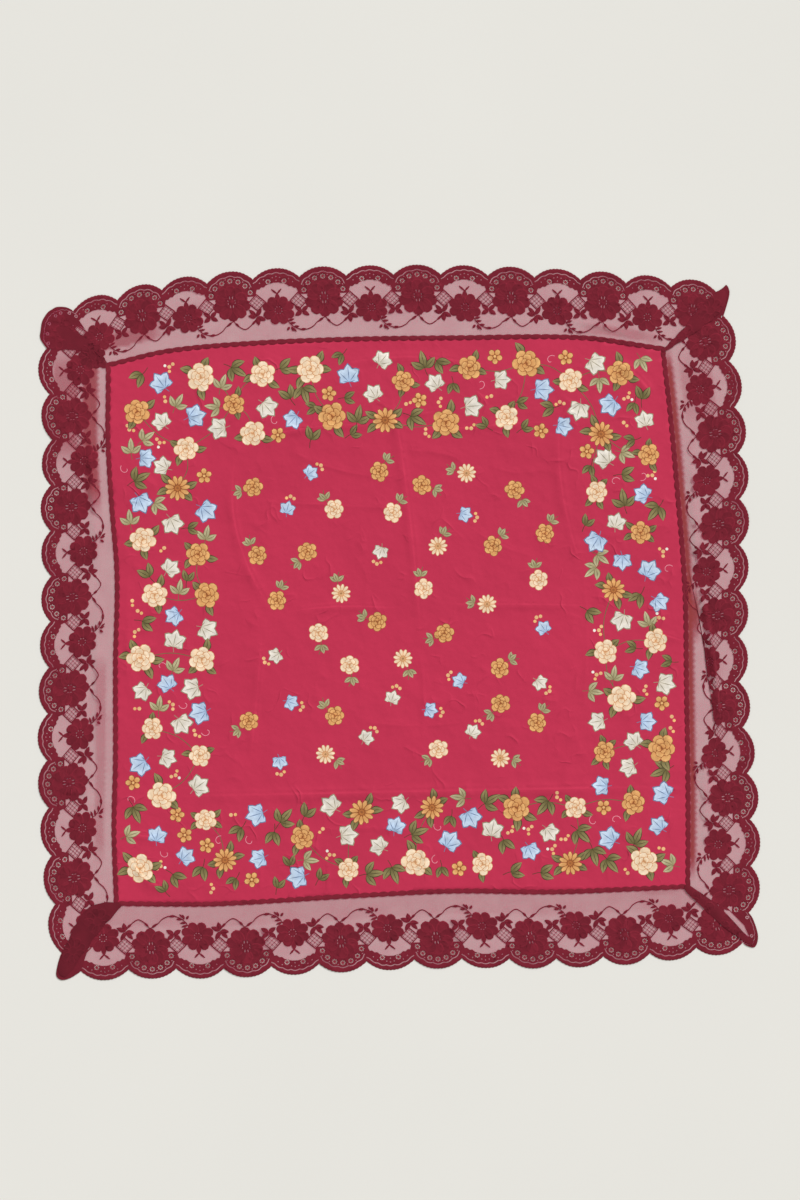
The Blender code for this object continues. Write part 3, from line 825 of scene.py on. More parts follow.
def blossom(draw, x, y, size, turn, inks):
    """A full open blossom: rounds of dented petals, deep at the base and pale at the rim."""
    for count, reach, half_long, half_wide, offset, steps in ROUNDS:
        for k, angle in enumerate(evenly(count, turn + offset)):
            uneven = 1 + 0.09 * math.sin(2.3 * k + 3 * turn)
            round_petal(draw, (x, y), reach * uneven * size, half_long * size, half_wide * size, angle, inks,
                        1.0 + 0.25 * (k % 2), steps)
    draw(petal(0, 0.14 * size, 0.07 * size, turn, 0.0, 7, (x, y)), inks.line)


def daisy(draw, x, y, size, turn, inks):
    """A full daisy: narrow petals and a deep middle."""
    for angle in evenly(11, turn):
        round_petal(draw, (x, y), 0.58 * size, 0.4 * size, 0.2 * size, angle, inks, 1.0, 9)
    draw(ring((x, y), 0.27 * size, 9), inks.line)
    draw(ring((x, y), 0.2 * size, 8), Ink(SEED, inks.deep, (x, y), 0.2 * size))


def star_flower(draw, x, y, size, turn, inks):
    """A small flower with five round petals."""
    for angle in evenly(5, turn):
        round_petal(draw, (x, y), 0.55 * size, 0.44 * size, 0.38 * size, angle, inks, 0.9, 9)
    draw(ring((x, y), 0.17 * size, 6), flat_ink(APRICOT.pale))


trial = Plan()
blossom(trial.shape, 0.0, 0.0, 18.0, 0.0, CREAM)
print("a blossom is drawn with", len(trial.faces), "shapes")

# %% Leaves, dots and tendrils
STEM_HALF = 0.4                         # half the width of a printed line
DOT_RADII = (2.5, 2.1, 2.3, 1.9)
DOT_INKS = [flat_ink(colour) for colour in (CREAM.deep, APRICOT.pale, CREAM.deep, SHELL.pale)]


def printed_leaf(draw, start, tip, wide, inks, bend=0.0):
    draw(leaf(start, tip, wide, bend, 5), inks.line)
    draw(leaf(start, tip, wide, bend, 5, 0.8), Ink(inks.deep, inks.pale, tuple(start), 17.0))
    draw(leaf(start, tip, STEM_HALF, bend, 2), inks.line)


def leaves_round(draw, x, y, size, turn, count, inks):
    """Leaves that look out from under a flower."""
    for k, angle in enumerate(evenly(count, turn)):
        angle += 0.35 if k % 2 else -0.2
        start = step_from(x, y, 0.6 * size, angle)
        tip = step_from(x, y, (1.8, 1.6, 1.7)[k % 3] * size, angle + 0.1)
        printed_leaf(draw, start, tip, 0.34 * size, inks, 0.1 * size * (1 if k % 2 else -1))


def leaf_fan(draw, x, y, size, turn, inks, count=3):
    """Narrow leaves fanned from one short stem."""
    root = step_from(x, y, -0.75 * size, turn)
    for k in range(count):
        way = turn + (k - (count - 1) / 2) * 0.95
        reach = size * (1.35 if count % 2 and k == count // 2 else 1.1)
        start = step_from(*root, 0.2 * size, turn)
        printed_leaf(draw, start, step_from(*start, reach, way), 0.3 * size, inks, 0.07 * size * (k - 1))
    stem = [step_from(*root, -0.4 * size, turn + 0.2), root, step_from(*root, 0.3 * size, turn)]
    draw(ribbon(stem, STEM_HALF), inks.line)


# Half of a lobed leaf's outline, and its veins: angle from the tip, and reach
LOBES = ((0, 1.0), (0.22, 0.82), (0.46, 0.68), (0.7, 0.82), (0.98, 0.93), (1.22, 0.76), (1.42, 0.62),
         (1.7, 0.66), (2.0, 0.73), (2.3, 0.55), (2.75, 0.32))
VEINS = ((0, 0.85), (0.98, 0.75), (-0.98, 0.75), (2.0, 0.5), (-2.0, 0.5))


def lobed_leaf(draw, x, y, size, turn, inks):
    """A broad leaf of five pointed lobes with a vein in each."""
    half = [(turn + angle, reach) for angle, reach in LOBES]
    half += [(turn - angle, reach) for angle, reach in LOBES[:0:-1]]
    root = step_from(x, y, -0.3 * size, turn)
    for share, ink in ((1.0, inks.line), (0.9, Ink(inks.deep, inks.pale, root, 1.1 * size))):
        draw([step_from(x, y, share * reach * size, angle) for angle, reach in half], ink)
    for angle, reach in VEINS:
        tip = step_from(x, y, reach * size, turn + angle)
        draw(leaf(root, tip, 0.03 * size, steps=2), inks.line)
    draw(ribbon([root, step_from(*root, -0.35 * size, turn + 0.3)], STEM_HALF), inks.line)


def berries(draw, x, y, size, turn, count=3):
    """Loose dots of ink."""
    for k in range(count):
        place = step_from(x, y, size * 0.8 * (k > 0), turn + 2.2 * k)
        draw(ring(place, DOT_RADII[k % 4], 8), DOT_INKS[k % 4])


def tendril(draw, x, y, size, turn):
    """A thin curling line."""
    turns = np.linspace(0, 1, 10)
    angles = turn + 4.0 * turns
    reach = size * (1 - 0.75 * turns)
    draw(ribbon(np.stack([x + reach * np.cos(angles), y + reach * np.sin(angles)], 1), 0.35), TENDRIL)


def sprig(draw, x, y, size, turn, flower, inks):
    """One flower on a stem with small leaves."""
    bow = step_from(*step_from(x, y, -1.2 * size, turn), 0.25 * size, turn - math.pi / 2)
    stem = smooth_line([(x, y), bow, step_from(x, y, -2.1 * size, turn)], 3)
    draw(ribbon(stem, 0.42), SAGE.line)
    for aside in (1, -1, 0.3):
        tip = step_from(*bow, 0.85 * size, turn + math.pi + aside * 0.95)
        printed_leaf(draw, bow, tip, 0.26 * size, SAGE)
    flower(draw, x, y, size, turn, inks)


# %% [markdown]
# ## Where the motifs go
#
# A hand-set layout is possible, but an even scatter is easier to get from a rule: for each motif,
# try a number of seeded random places, and keep the one that stands furthest from its neighbours.

# %% Hem and free places
CLOTH_UNDER_LACE = 3.6                  # how deep the hem is hidden
BAND_FROM, BAND_TO = 16.0, 124.0        # the border band, inward from the hem
FIELD_FROM = 146.0                      # the motifs of the middle keep this far from the hem
SCATTER_X, SCATTER_Y = (-370, 370), (-360, 370)


def mitre_direction(corner):
    way = np.array(corner.lobe[len(corner.lobe) // 2]) - np.array(corner.square)
    return way / np.hypot(*way)


def cloth_outline(steps=60):
    """The square's hem, a little outside the heading's line."""
    parts = []
    for side in SIDES.values():
        length = side_axes(side)[3]
        parts.append(heading_point(side, length * np.arange(1, steps) / steps, CLOTH_UNDER_LACE))
        corner = CORNERS[side.finish]
        parts.append([np.array(corner.square) + mitre_direction(corner) * CLOTH_UNDER_LACE * math.sqrt(2)])
    return np.concatenate(parts)[::-1]


hem = cloth_outline()
coarse_hem = closed_line(hem)[::4]      # close enough to measure from
hem_steps = np.hypot(*(hem - np.roll(hem, 1, axis=0)).T)
print("hem of", len(hem), "places,", round(float(hem_steps.sum())), "mm round")


def best_place(rng, placed, low, high, reach, tries=40):
    """Of some random places between two distances from the hem, the one most clear of the rest."""
    spots = np.array([(rng.uniform(*SCATTER_X), rng.uniform(*SCATTER_Y)) for _ in range(tries * 4)])
    away = np.abs(beside_line(spots, coarse_hem)[0])
    spots = spots[inside(spots, hem[::4]) & (away > low + reach) & (away < high - reach * 0.5)][:tries]
    if len(spots) == 0 or not placed:
        return tuple(spots[0]) if len(spots) else None
    others = np.array(placed)
    apart = np.hypot(*(spots[:, None] - others[:, :2]).transpose(2, 0, 1))
    clear = (apart - others[:, 2]).min(axis=1) - reach
    return tuple(spots[clear.argmax()]) if clear.max() > 0 else None


# %% Layout of the print
FIELD_MOTIFS, FIELD_REACH, FIELD_SIZE = 46, 22.0, 13.0
STEM_LONGEST, STEM_BOW = 85, 7.0
PRINT_SEED = 41


def border_bloom(draw, x, y, turn, k):
    size = (18.5, 16.0, 14.5, 17.0)[k % 4]
    leaves_round(draw, x, y, 0.9 * size, turn, (3, 2, 4)[k % 3], OLIVE)
    if k % 6 == 5:
        daisy(draw, x, y, size, turn, APRICOT)
    else:
        blossom(draw, x, y, size, turn, (CREAM, APRICOT)[k % 5 in (1, 3)])


# How many of each motif, the room that one takes, and what draws it
BORDER = (
    (50, 17.0, border_bloom),
    (34, 13.5, lambda draw, x, y, turn, k: lobed_leaf(draw, x, y, (18.5, 16.0)[k % 2], turn, BLUE)),
    (34, 13.5, lambda draw, x, y, turn, k: lobed_leaf(draw, x, y, (18.0, 16.0)[k % 2], turn, SHELL)),
    (40, 10.0, lambda draw, x, y, turn, k: leaf_fan(draw, x, y, 17.0, turn, OLIVE, 2 + k % 2)),
    (16, 8.0, lambda draw, x, y, turn, k: star_flower(draw, x, y, 10.5, turn, APRICOT)),
    (46, 7.0, lambda draw, x, y, turn, k: leaf_fan(draw, x, y, 14.0, turn, (OLIVE, SAGE)[k % 2], 2 + k % 2)),
    (40, 5.0, lambda draw, x, y, turn, k: berries(draw, x, y, 7.0, turn, 2 + k % 3)),
    (18, 5.0, lambda draw, x, y, turn, k: tendril(draw, x, y, 7.0, turn)),
)


def draw_stems(draw, blooms):
    """Bowed stems from each bloom to the next free one, under everything else."""
    for k, start in enumerate(blooms):
        later = [other for other in blooms[k + 1:] if math.dist(start, other) < STEM_LONGEST]
        if later:
            end = min(later, key=lambda other: math.dist(start, other))
            middle = [(a + b) / 2 for a, b in zip(start, end)]
            way = math.atan2(end[1] - start[1], end[0] - start[0]) + math.pi / 2
            bow = step_from(*middle, -STEM_BOW if k % 2 else STEM_BOW, way)
            draw(ribbon(smooth_line([start, bow, end], 5), 0.5), SAGE.line)


def draw_print(draw):
    """The whole print; draw takes an outline and an ink."""
    rng = random.Random(PRINT_SEED)
    placed, middle, jobs = [], [], []
    for count, reach, make in BORDER:
        for k in range(count):
            spot = best_place(rng, placed, BAND_FROM, BAND_TO, reach)
            if spot is None:
                continue
            jobs.append((make, spot, rng.uniform(0, 2 * math.pi), k))
            placed.append((*spot, reach))
    draw_stems(draw, [spot for make, spot, _turn, _k in jobs if make is border_bloom])
    for make, spot, turn, k in reversed(jobs):
        make(draw, *spot, turn, k)
    for k in range(FIELD_MOTIFS):
        spot = best_place(rng, middle, FIELD_FROM, math.inf, FIELD_REACH, 60)
        if spot is None:
            continue
        turn = rng.uniform(0, 2 * math.pi)
        if k % 3 == 2:
            lobed_leaf(draw, *spot, FIELD_SIZE, turn, (BLUE, SHELL)[k // 3 % 2])
            berries(draw, *step_from(*spot, 18.0, turn), 6.5, turn, 3)
        else:
            flower = daisy if k % 6 == 4 else blossom
            sprig(draw, *spot, FIELD_SIZE, turn, flower, (CREAM, APRICOT)[k % 2])
        middle.append((*spot, FIELD_REACH))
    print(len(placed), "motifs in the border,", len(middle), "in the middle")


# %% [markdown]
# ## The square
#
# The square is one thin sheet. Its upper face is cut along every printed shape and painted corner
# by corner, so the ink has crisp edges and soft shading at any distance. The lower face needs none
# of that, so it is a coarser plan on the same hem, joined to the upper one round the rim.

# %% Sheets and their shift
CLOTH_LOW, CLOTH_HIGH = 0.1, 0.55       # faces of the cloth over the surface it lies on
LOW_CREASES = 0.55                      # share of a crease's height that the lower face has
GRID_FINE, GRID_COARSE = 9.5, 16.0
CLOTH_ROWS = ((-1.0, -0.5, 0.0, 0.14, 0.28, 0.42, 0.7, 1.0), 4.5)
FINE_ROWS = ((-1.0, -0.4, 0.0, 0.28, 0.5, 1.0), 5.0)
LOW_ROWS = ((-1.0, -0.5, 0.0, 0.3, 0.6, 1.0), 11.0)
SMALL_SWELL = (38.0, 0.3)               # size and height of the low swells that the laid cloth keeps
BROAD_SWELL, SWELL_FROM_HEM = (74.0, 1.7), 70.0
SHIFT = np.array((-0.68, -0.26))        # sets the middle of the whole outline over the origin


def new_piece(name, places, heights, triangles, materials, slots):
    """A mesh object from places and heights in millimetres."""
    mesh = bpy.data.meshes.new(name)
    points = np.column_stack([places + SHIFT, heights]) * MM
    mesh.from_pydata(points.tolist(), [], triangles)
    for material in materials:
        mesh.materials.append(material)
    mesh.polygons.foreach_set("material_index", slots)
    mesh.polygons.foreach_set("use_smooth", [True] * len(triangles))
    mesh.update()
    thing = bpy.data.objects.new(name, mesh)
    bpy.context.scene.collection.objects.link(thing)
    return thing


def set_values(thing, name, values, domain="CORNER"):
    values = np.asarray(values, float)
    kind = "FLOAT_COLOR" if values.ndim == 2 else "FLOAT"
    stored = thing.data.attributes.new(name, kind, domain)
    stored.data.foreach_set("color" if values.ndim == 2 else "value", values.ravel())


# %% Build the square


def cloth_plan(printed):
    plan = Plan()
    plan.shape(hem, FIELD_INK)
    plan.add(triangle_grid(hem, GRID_FINE if printed else GRID_COARSE))
    lines_over_folds(plan, CLOTH_FOLDS, *(CLOTH_ROWS if printed else LOW_ROWS))
    if printed:
        lines_over_folds(plan, FINE_CREASES, *FINE_ROWS)
        draw_print(plan.shape)
    return plan


def cloth_heights(places, printed):
    inward = np.abs(beside_line(places, coarse_hem)[0])
    swell = ripple(places, *BROAD_SWELL) * smooth_step(inward / SWELL_FROM_HEM)
    swell = ripple(places, *SMALL_SWELL) + swell
    if not printed:
        return swell + CLOTH_LOW + LOW_CREASES * fold_heights(places, CLOTH_FOLDS)
    creases = fold_heights(places, CLOTH_FOLDS) + fold_heights(places, FINE_CREASES)
    return swell + CLOTH_HIGH + creases


def ink_colours(inks, corners):
    """Colour at each corner of each triangle, from its ink's middle to its rim."""
    inner, outer, centre = (np.array([ink[part] for ink in inks])[:, None] for part in range(3))
    reach = np.array([ink.reach for ink in inks])[:, None]
    share = np.clip(np.linalg.norm(corners - centre, axis=2) / reach, 0, 1)[..., None]
    return inner * (1 - share) + outer * share


def build_cloth():
    upper = cloth_plan(True)
    places, kept, _levels, sources = upper.cut()
    low_places, low_kept, _levels, low_sources = cloth_plan(False).cut()
    first = len(places)
    triangles = [list(face) for face, _owner in kept]
    triangles += [[first + k for k in reversed(face)] for face, _owner in low_kept]
    rim, low_rim = ({k: i for i, source in enumerate(found) for k in source if k < len(hem)}
                    for found in (sources, low_sources))
    for k in range(len(hem)):
        after = (k + 1) % len(hem)
        triangles.append([rim[k], first + low_rim[k], first + low_rim[after]])
        triangles.append([rim[k], first + low_rim[after], rim[after]])
    slots = [0] * len(kept) + [1] * (len(triangles) - len(kept))
    heights = np.concatenate([cloth_heights(places, True), cloth_heights(low_places, False)])
    thing = new_piece("printed_cloth", np.concatenate([places, low_places]), heights, triangles,
                      [cotton_material("printed cotton", 0.72, 7.0, 0.16, True),
                       cotton_material("cotton reverse", 0.8, 11.0, 0.3, False)], slots)
    colours = np.ones((len(triangles), 3, 4))
    colours[:, :, :3] = FIELD
    inks = [upper.paints[owner] for _face, owner in kept]
    colours[:len(kept), :, :3] = ink_colours(inks, places[[face for face, _owner in kept]])
    set_values(thing, "ink", colours.reshape(-1, 4))
    printed = np.zeros((len(triangles), 3))
    printed[:len(kept)] = [[float(owner > 0)] * 3 for _face, owner in kept]
    set_values(thing, "printed", printed.ravel())
    print("square:", len(triangles), "triangles")
    return thing


cloth = build_cloth()
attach(cloth, "root")
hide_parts("printed_square")

# %% [markdown]
# ## The lace chart
#
# Machine lace is a repeat: here one scallop holds a large flower and the next a small one. The
# repeat is charted once, in millimetres, x along the edge from a scallop's middle and v inward from
# the line of its valleys, and then bent along each side. Near the corners the lace is fuller at its
# edge than at its heading, so its flowers lean; on the right side a tuck hides part of its width.

# %% Paints and the bent chart
Paint = namedtuple("Paint", "kind tone")
NET, HOLE = Paint("net", 1.0), Paint("hole", 1.0)
SCALLOP_WIDE = 57.5
CORD = 0.5                              # relief of an outline cord, in mm
PAD = 0.25                              # relief of close work
LACE_NOTCH = 0.1                        # dent in a petal's tip
PETAL_RIM = ((0.0, 1.2, 0.3), (0.9, 0.97, CORD))   # how far in, shade and relief
PETAL_PADDING = 2.4                     # the padding starts this far in
LEAN = {"top": (0.13, -0.08), "right": (0.16, 0.0), "bottom": (0.13, 0.03), "left": (0.13, 0.04)}
TUCK_AT, TUCK_HALF, TUCK_DEEP, TUCK_FROM = 415.0, 120.0, 22.0, 22.0
TUCK_SQUEEZED, TUCK_HIDDEN = 0.3, 0.7   # shares of the tuck that are gathered and that lie under it
TUCK_SHUT = 0.96                        # how nearly the hidden part is shut away
TUCK_LINE = ((270, 64.0), (285, 61.0), (333, 50.0), (377, 41.7), (445, 34.5))


def tucked(along, v):
    """Where the lace is tucked, part of its width is squeezed and part is hidden."""
    deep = TUCK_DEEP * np.clip(1 - ((along - TUCK_AT) / TUCK_HALF) ** 2, 0, 1) ** 2
    line = np.interp(along, *zip(*TUCK_LINE))
    squeezed, hidden = TUCK_SQUEEZED * deep, TUCK_HIDDEN * deep
    off = squeezed * np.clip((v - TUCK_FROM) / (line + squeezed - TUCK_FROM), 0, 1)
    return v - off - TUCK_SHUT * hidden * np.clip((v - line - squeezed) / np.maximum(hidden, 0.01), 0, 1)


class Chart:
    """One scallop's part of the repeat, bent to its place on a side."""

    def __init__(self, plan, name, number):
        self.plan, self.name, self.side = plan, name, SIDES[name]
        low, high = valley(self.side, number), valley(self.side, number + 1)
        self.middle, self.scale = (low + high) / 2, (high - low) / SCALLOP_WIDE
        share = np.clip(self.middle / side_axes(self.side)[3], 0, 1)
        self.lean = LEAN[name][0] * (1 - share) + LEAN[name][1] * share

    def bend(self, points):
        x, v = np.asarray(points, float).T
        along = self.middle + x * self.scale + self.lean * np.maximum(v - 8.0, 0)
        return edge_point(self.side, along, -tucked(along, v) if self.name == "right" else -v)

    def shape(self, points, paint, level=0.0):
        self.plan.shape(self.bend(points), paint, level)

    def line(self, points, level, closed=False):
        self.plan.line(self.bend(points), level, closed)


def work(tone=1.0):
    return Paint("work", tone)


def padded_petal(chart, centre, reach, half_long, half_wide, angle, tone, steps=12):
    """A worked petal: its rim is a raised cord, a little paler, and it is padded inside."""
    for less, shade, level in PETAL_RIM:
        chart.shape(petal(reach, half_long - less, half_wide - less, angle, LACE_NOTCH, steps, centre),
                    work(tone * shade), level)
    half_long, half_wide = half_long - PETAL_PADDING, half_wide - PETAL_PADDING
    chart.line(petal(reach, half_long, half_wide, angle, LACE_NOTCH, 8, centre), PAD, True)


def worked_leaf(chart, start, tip, half_wide, tone=1.0):
    chart.shape(leaf(start, tip, half_wide, steps=5), work(tone))
    chart.line(leaf(start, tip, half_wide, steps=5, share=0.5), CORD, True)


def cord_line(chart, points, half_wide=0.6, steps=4, swell=0.0):
    """A cord laid on the net; swell makes it leafy in the middle of its run."""
    line = smooth_line(points, steps)
    wide = half_wide + swell * np.sin(np.linspace(0, math.pi, len(line))) ** 2
    chart.shape(ribbon(line, wide), work(1.05))
    chart.line(line[1:-1], CORD)


print("the tuck takes", round(60.0 - float(tucked(TUCK_AT, 60.0)), 1), "mm of the right side's width")

# %% Flowers of the lace
HEADING_WAY = math.pi / 2               # towards the heading, in a chart's x and v
FLOWER_IN = 26.0                        # a large flower's centre, inward from the valleys
SMALL_PETALS = (24, -24, 68, -68, 110, -110, 148, -148)
SMALL_MIDDLE = 40.0                     # a small flower's centre
PETAL_TONES = (1.0, 1.1, 0.94, 1.06, 0.97, 1.12, 0.92, 1.04, 0.98, 1.08)
# Open slots in a large flower: x and v from its centre, half width and half length
SLOTS = ((1.8, 5.6, 0.6, 2.1), (1.8, -5.6, 0.6, 2.1), (4.4, 1.6, 0.5, 1.3), (4.4, -1.8, 0.5, 1.3))


def large_flower(chart):
    centre = (0.0, FLOWER_IN)
    for k, angle in enumerate(evenly(len(PETAL_TONES), HEADING_WAY)):
        reach, half_long = (13.0, 8.6) if math.sin(angle) < -0.2 else (15.2, 10.0)
        padded_petal(chart, centre, reach, half_long, 7.5, angle, PETAL_TONES[k])
    chart.shape(leaf((0, 46), (0, 51.5), 2.4, steps=4), work())
    chart.shape(ring(centre, 8.5, 12), work(0.93), PAD)
    chart.shape(ring(centre, 2.2, 8, stretch=0.8), work(1.08), CORD)
    for x, v, half_x, half_v in SLOTS:
        for way in (-1, 1):
            chart.shape(petal(0, half_v, half_x, HEADING_WAY + 0.12 * way, 0, 8,
                              (way * x, FLOWER_IN + v)), NET)


def small_flower(chart):
    centre = (0.0, SMALL_MIDDLE)
    chart.shape(leaf((0, 31), (0, 18.0), 3.2, steps=5), work())
    for tip_x in (-6.6, 5.6):
        cord_line(chart, [(0, 19.5), (tip_x * 0.5, 16.6), (tip_x, 13.6)], 0.6, 3, 0.6)
    for k, degrees in enumerate(SMALL_PETALS):
        angle = HEADING_WAY + math.radians(degrees)
        side_reach = 1.4 if 50 < abs(degrees) < 130 else 0.0
        padded_petal(chart, centre, 11.0 + side_reach, 8.6, 6.3, angle, PETAL_TONES[k], 11)
    chart.shape(ring(centre, 6.0, 10), work(0.96), PAD)
    for angle in evenly(8, math.pi / 8):
        chart.shape(ring(step_from(*centre, 4.3, angle), 0.75, 6), NET)


trial = Plan()
large_flower(Chart(trial, "top", 1))
print("a large flower is drawn with", len(trial.faces), "shapes")

# %% Eyelets, open lines and windows
SCALLOP_RISE, SCALLOP_ROUND = 12.0, 2.2  # height of a scallop, and the power of its curve
EYELET_RADIUS = 3.2
FLOWER_RING = 26.5                      # the eyelets round a large flower stand on this radius
FLOWER_ANGLES = (-67.5, -45.0, -22.5, 0.0, 22.5, 45.0, 67.5)
SPECK_RING = 29.0                       # and the dots between them on this one
SPECK_ANGLES = np.array(FLOWER_ANGLES)[:-1] + 11.25
SMALL_SPECKS = ((-4.5, -1.0), (0, -2.2), (4.5, -1.0), (-15.5, 1.0), (15.5, 1.0), (0, 2.6), (-20.5, 5.2),
                (20.5, 5.2))
OPEN_HALF = 0.55                        # half the width of an open line
# Half the outline of the sheer lens above a small flower, in two parts
WINDOW_TOP = ((26, 17), (24.4, 12.8), (21.4, 13), (18.6, 10.4), (15.6, 10.8), (12.6, 8), (8, 6.6),
              (3.5, 5.4))
WINDOW_FOOT = ((25, 21), (20, 25), (12, 30))


def around_flower(radius, degrees):
    """Places round a large flower's centre, counted in degrees from the scallop's tip."""
    turn = np.radians(degrees)
    return np.stack([radius * np.sin(turn), FLOWER_IN - radius * np.cos(turn)], -1)


def eyelet(chart, x, v, open_through):
    """A hole in a raised ring, filled by a fine web of threads."""
    chart.line(ring((x, v), EYELET_RADIUS + 0.8, 10), CORD, True)
    chart.shape(ring((x, v), EYELET_RADIUS, 10), HOLE if open_through else NET)
    for k in range(4):
        angle = 0.4 + k * math.pi / 4
        ends = [step_from(x, v, way * (EYELET_RADIUS + 0.2), angle) for way in (-1, 1)]
        chart.shape(ribbon(ends, 0.42), work(1.5), 0.1)


def open_line_large(chart):
    """The fine open line that rises over each eyelet of a large flower."""
    degrees = np.linspace(-58, 58, 47)
    radius = 31.1 + 1.5 * np.abs(np.cos(np.pi * degrees / 22.5))
    chart.shape(ribbon(around_flower(radius, degrees), OPEN_HALF), NET)


def specks(chart, places):
    """Small open dots among the close work of the edge."""
    for x, v in places:
        chart.shape(ring((x, v), 0.85, 5), NET)


def open_line_small(chart):
    x = np.linspace(-28.7, 28.7, 41)
    edge = -SCALLOP_RISE * (1 - np.abs(2 * x / SCALLOP_WIDE) ** SCALLOP_ROUND)
    line = np.stack([x, edge + 6.4 - 1.4 * np.abs(np.cos(np.pi * x / 10))], 1)
    chart.shape(ribbon(line, OPEN_HALF), NET)


def window(chart):
    """The sheer lens above a small flower."""
    across = [(-x, v) for x, v in WINDOW_FOOT[::-1] + WINDOW_TOP]
    chart.shape(across + list(WINDOW_TOP[::-1] + WINDOW_FOOT), NET)


# %% [markdown]
# ## Openwork between the flowers
#
# Where two scallops meet, the lace has a small lattice with a knot at each crossing, and leaves
# that tie the flowers together. A cord runs from the tip of each large flower: a wide arc one way
# and a narrow one the other.

# %% Lattice, leaves and vines
LATTICE = (3.0, 29.2, 10.8, 10.4)        # x and v of its middle, from a valley towards a small flower
LATTICE_STEPS = 4
# Leaves, each with its start, tip and half width, counted from a valley or from a scallop's middle
TIE_LEAVES = (((0, 42.5), (-8.5, 35.6), 2.7), ((0, 42.5), (8.5, 35.6), 2.7), ((0, 42.5), (9, 48), 2.9),
              ((0, 42.5), (-9, 48), 2.9))
FULL_LEAVES = (((1.5, 47), (3, 58), 3.1), ((1.5, 47), (12, 52), 3.0), ((1, 47), (-9.5, 45), 2.9),
               ((0.5, 46.5), (8, 36.6), 2.7), ((0.5, 46.5), (-7.5, 37), 2.7))
VINE_WIDE = ((0, 50), (-5, 53), (-10.5, 56.5), (-15.5, 61.5), (-23, 65), (-31, 65), (-38.5, 62),
             (-43.5, 57.5), (-46.5, 53))
VINE_NARROW = ((0, 50), (4.5, 56), (12.5, 61.5), (19.5, 58.5), (25, 53), (30, 48))
VINE_LEAVES = (((-2, 51), (-10, 56.6), 1.5), ((1.6, 52.4), (6.4, 58), 1.5), ((22, 56.5), (28.5, 50.5), 1.5),
               ((-24, 65), (-32.5, 65.4), 1.6), ((-39.5, 61.4), (-32.5, 61.4), 1.5),
               ((-45, 57.4), (-36.5, 56.4), 1.5), ((-46, 54), (-38, 51.6), 1.5),
               ((-42, 61), (-40.5, 67.5), 1.6), ((-44.5, 61.5), (-48, 66), 1.6),
               ((-41, 63), (-36.5, 68), 1.3))


def lattice(chart, x_valley, way):
    """An openwork diamond; way is 1 where the small flower lies towards +x."""
    aside, middle_v, half_x, half_v = LATTICE
    middle_x = x_valley + way * aside

    def place(a, b):
        return middle_x + (a - b) * half_x / 2, middle_v + (a + b) * half_v / 2

    corners = [np.array(place(*end)) for end in ((-1, -1), (1, -1), (1, 1), (-1, 1))]
    chart.shape(corners, NET)
    crossings = [-1 + (2 * k + 1) / LATTICE_STEPS for k in range(LATTICE_STEPS)]
    for at in crossings:
        for ends in ([place(at, -1.02), place(at, 1.02)], [place(-1.02, at), place(1.02, at)]):
            chart.shape(ribbon(ends, 0.2), work(1.3))
    for a in crossings:
        for b in crossings:
            chart.shape(ring(place(a, b), 0.6, 5), work(1.2), 0.3)
    for a, b in zip(corners, corners[1:] + corners[:1]):
        cord_line(chart, [a, (a + b) / 2, b], 0.65, 2)


def tie_leaves(chart, x_valley, way):
    """Leaves that tie the flowers; the fuller cluster is at the end of a narrow arc."""
    for start, tip, half_wide in FULL_LEAVES if way > 0 else TIE_LEAVES:
        worked_leaf(chart, (x_valley + way * start[0], start[1]), (x_valley + way * tip[0], tip[1]),
                    half_wide)


def vines(chart):
    """The two cords from a large flower's tip, with the leaves along the wide one."""
    cord_line(chart, VINE_WIDE, 0.5, swell=0.15)
    cord_line(chart, VINE_NARROW, 0.5, swell=0.15)
    for start, tip, half_wide in VINE_LEAVES:
        worked_leaf(chart, start, tip, half_wide, tone=1.05)


# %% [markdown]
# ## The outline of a run
#
# A run ends on the mitre, where it meets or laps its neighbour. Its outline has the woven heading
# with its small scallops, a lobe at each corner, and the scalloped edge with a fine picot. Whatever
# the chart draws past the outline is cut off by the triangulation.

# %% Edge and heading
PICOTS, PICOT_RISE = 13, 0.6            # fine bumps on one scallop
EDGE_STEPS = 3 * PICOTS
HEADING_PITCH, HEADING_RISE = 11.7, 1.8


def scalloped_edge(side, first=0, last=None, inset=0.0, steps=EDGE_STEPS):
    """The scalloped edge with its picot, or a plain line inside it."""
    t = np.arange(1, steps + 1) / steps * 2 - 1
    parts = [edge_point(side, valley(side, first), -inset)[None]]
    for number in range(first, side.scallops if last is None else last):
        low, high = valley(side, number), valley(side, number + 1)
        picot = PICOT_RISE * np.abs(np.sin(math.pi * PICOTS * (t + 1) / 2)) * (inset == 0)
        rise = SCALLOP_RISE * (1 - np.abs(t) ** SCALLOP_ROUND) + picot - inset
        parts.append(edge_point(side, low + (high - low) * (t + 1) / 2, rise))
    return np.concatenate(parts)


def scalloped_heading(side, steps=6, rise=HEADING_RISE, outward=0.0, way=-1, past=0.0):
    length = side_axes(side)[3]
    count = round(length / HEADING_PITCH) * steps
    number = np.arange(count + 1)
    t = 2 * (number % steps) / steps - 1
    along = -past + (length + 2 * past) * number / count
    return heading_point(side, along, outward + way * rise * (1 - t * t))


for name, side in SIDES.items():
    print(name, "heading has", round(side_axes(side)[3] / HEADING_PITCH), "small scallops")

# %% Lobes and laps
LOBE_STEPS = 5
LOBE_PULL = 1.6                         # the lower run's edge keeps this far inside the lobe
FREE_INSET = 0.5
MITRE_BUTT = 26.0                       # the runs butt on the mitre up to here, and lap beyond it
PIECE_GAP = 0.05


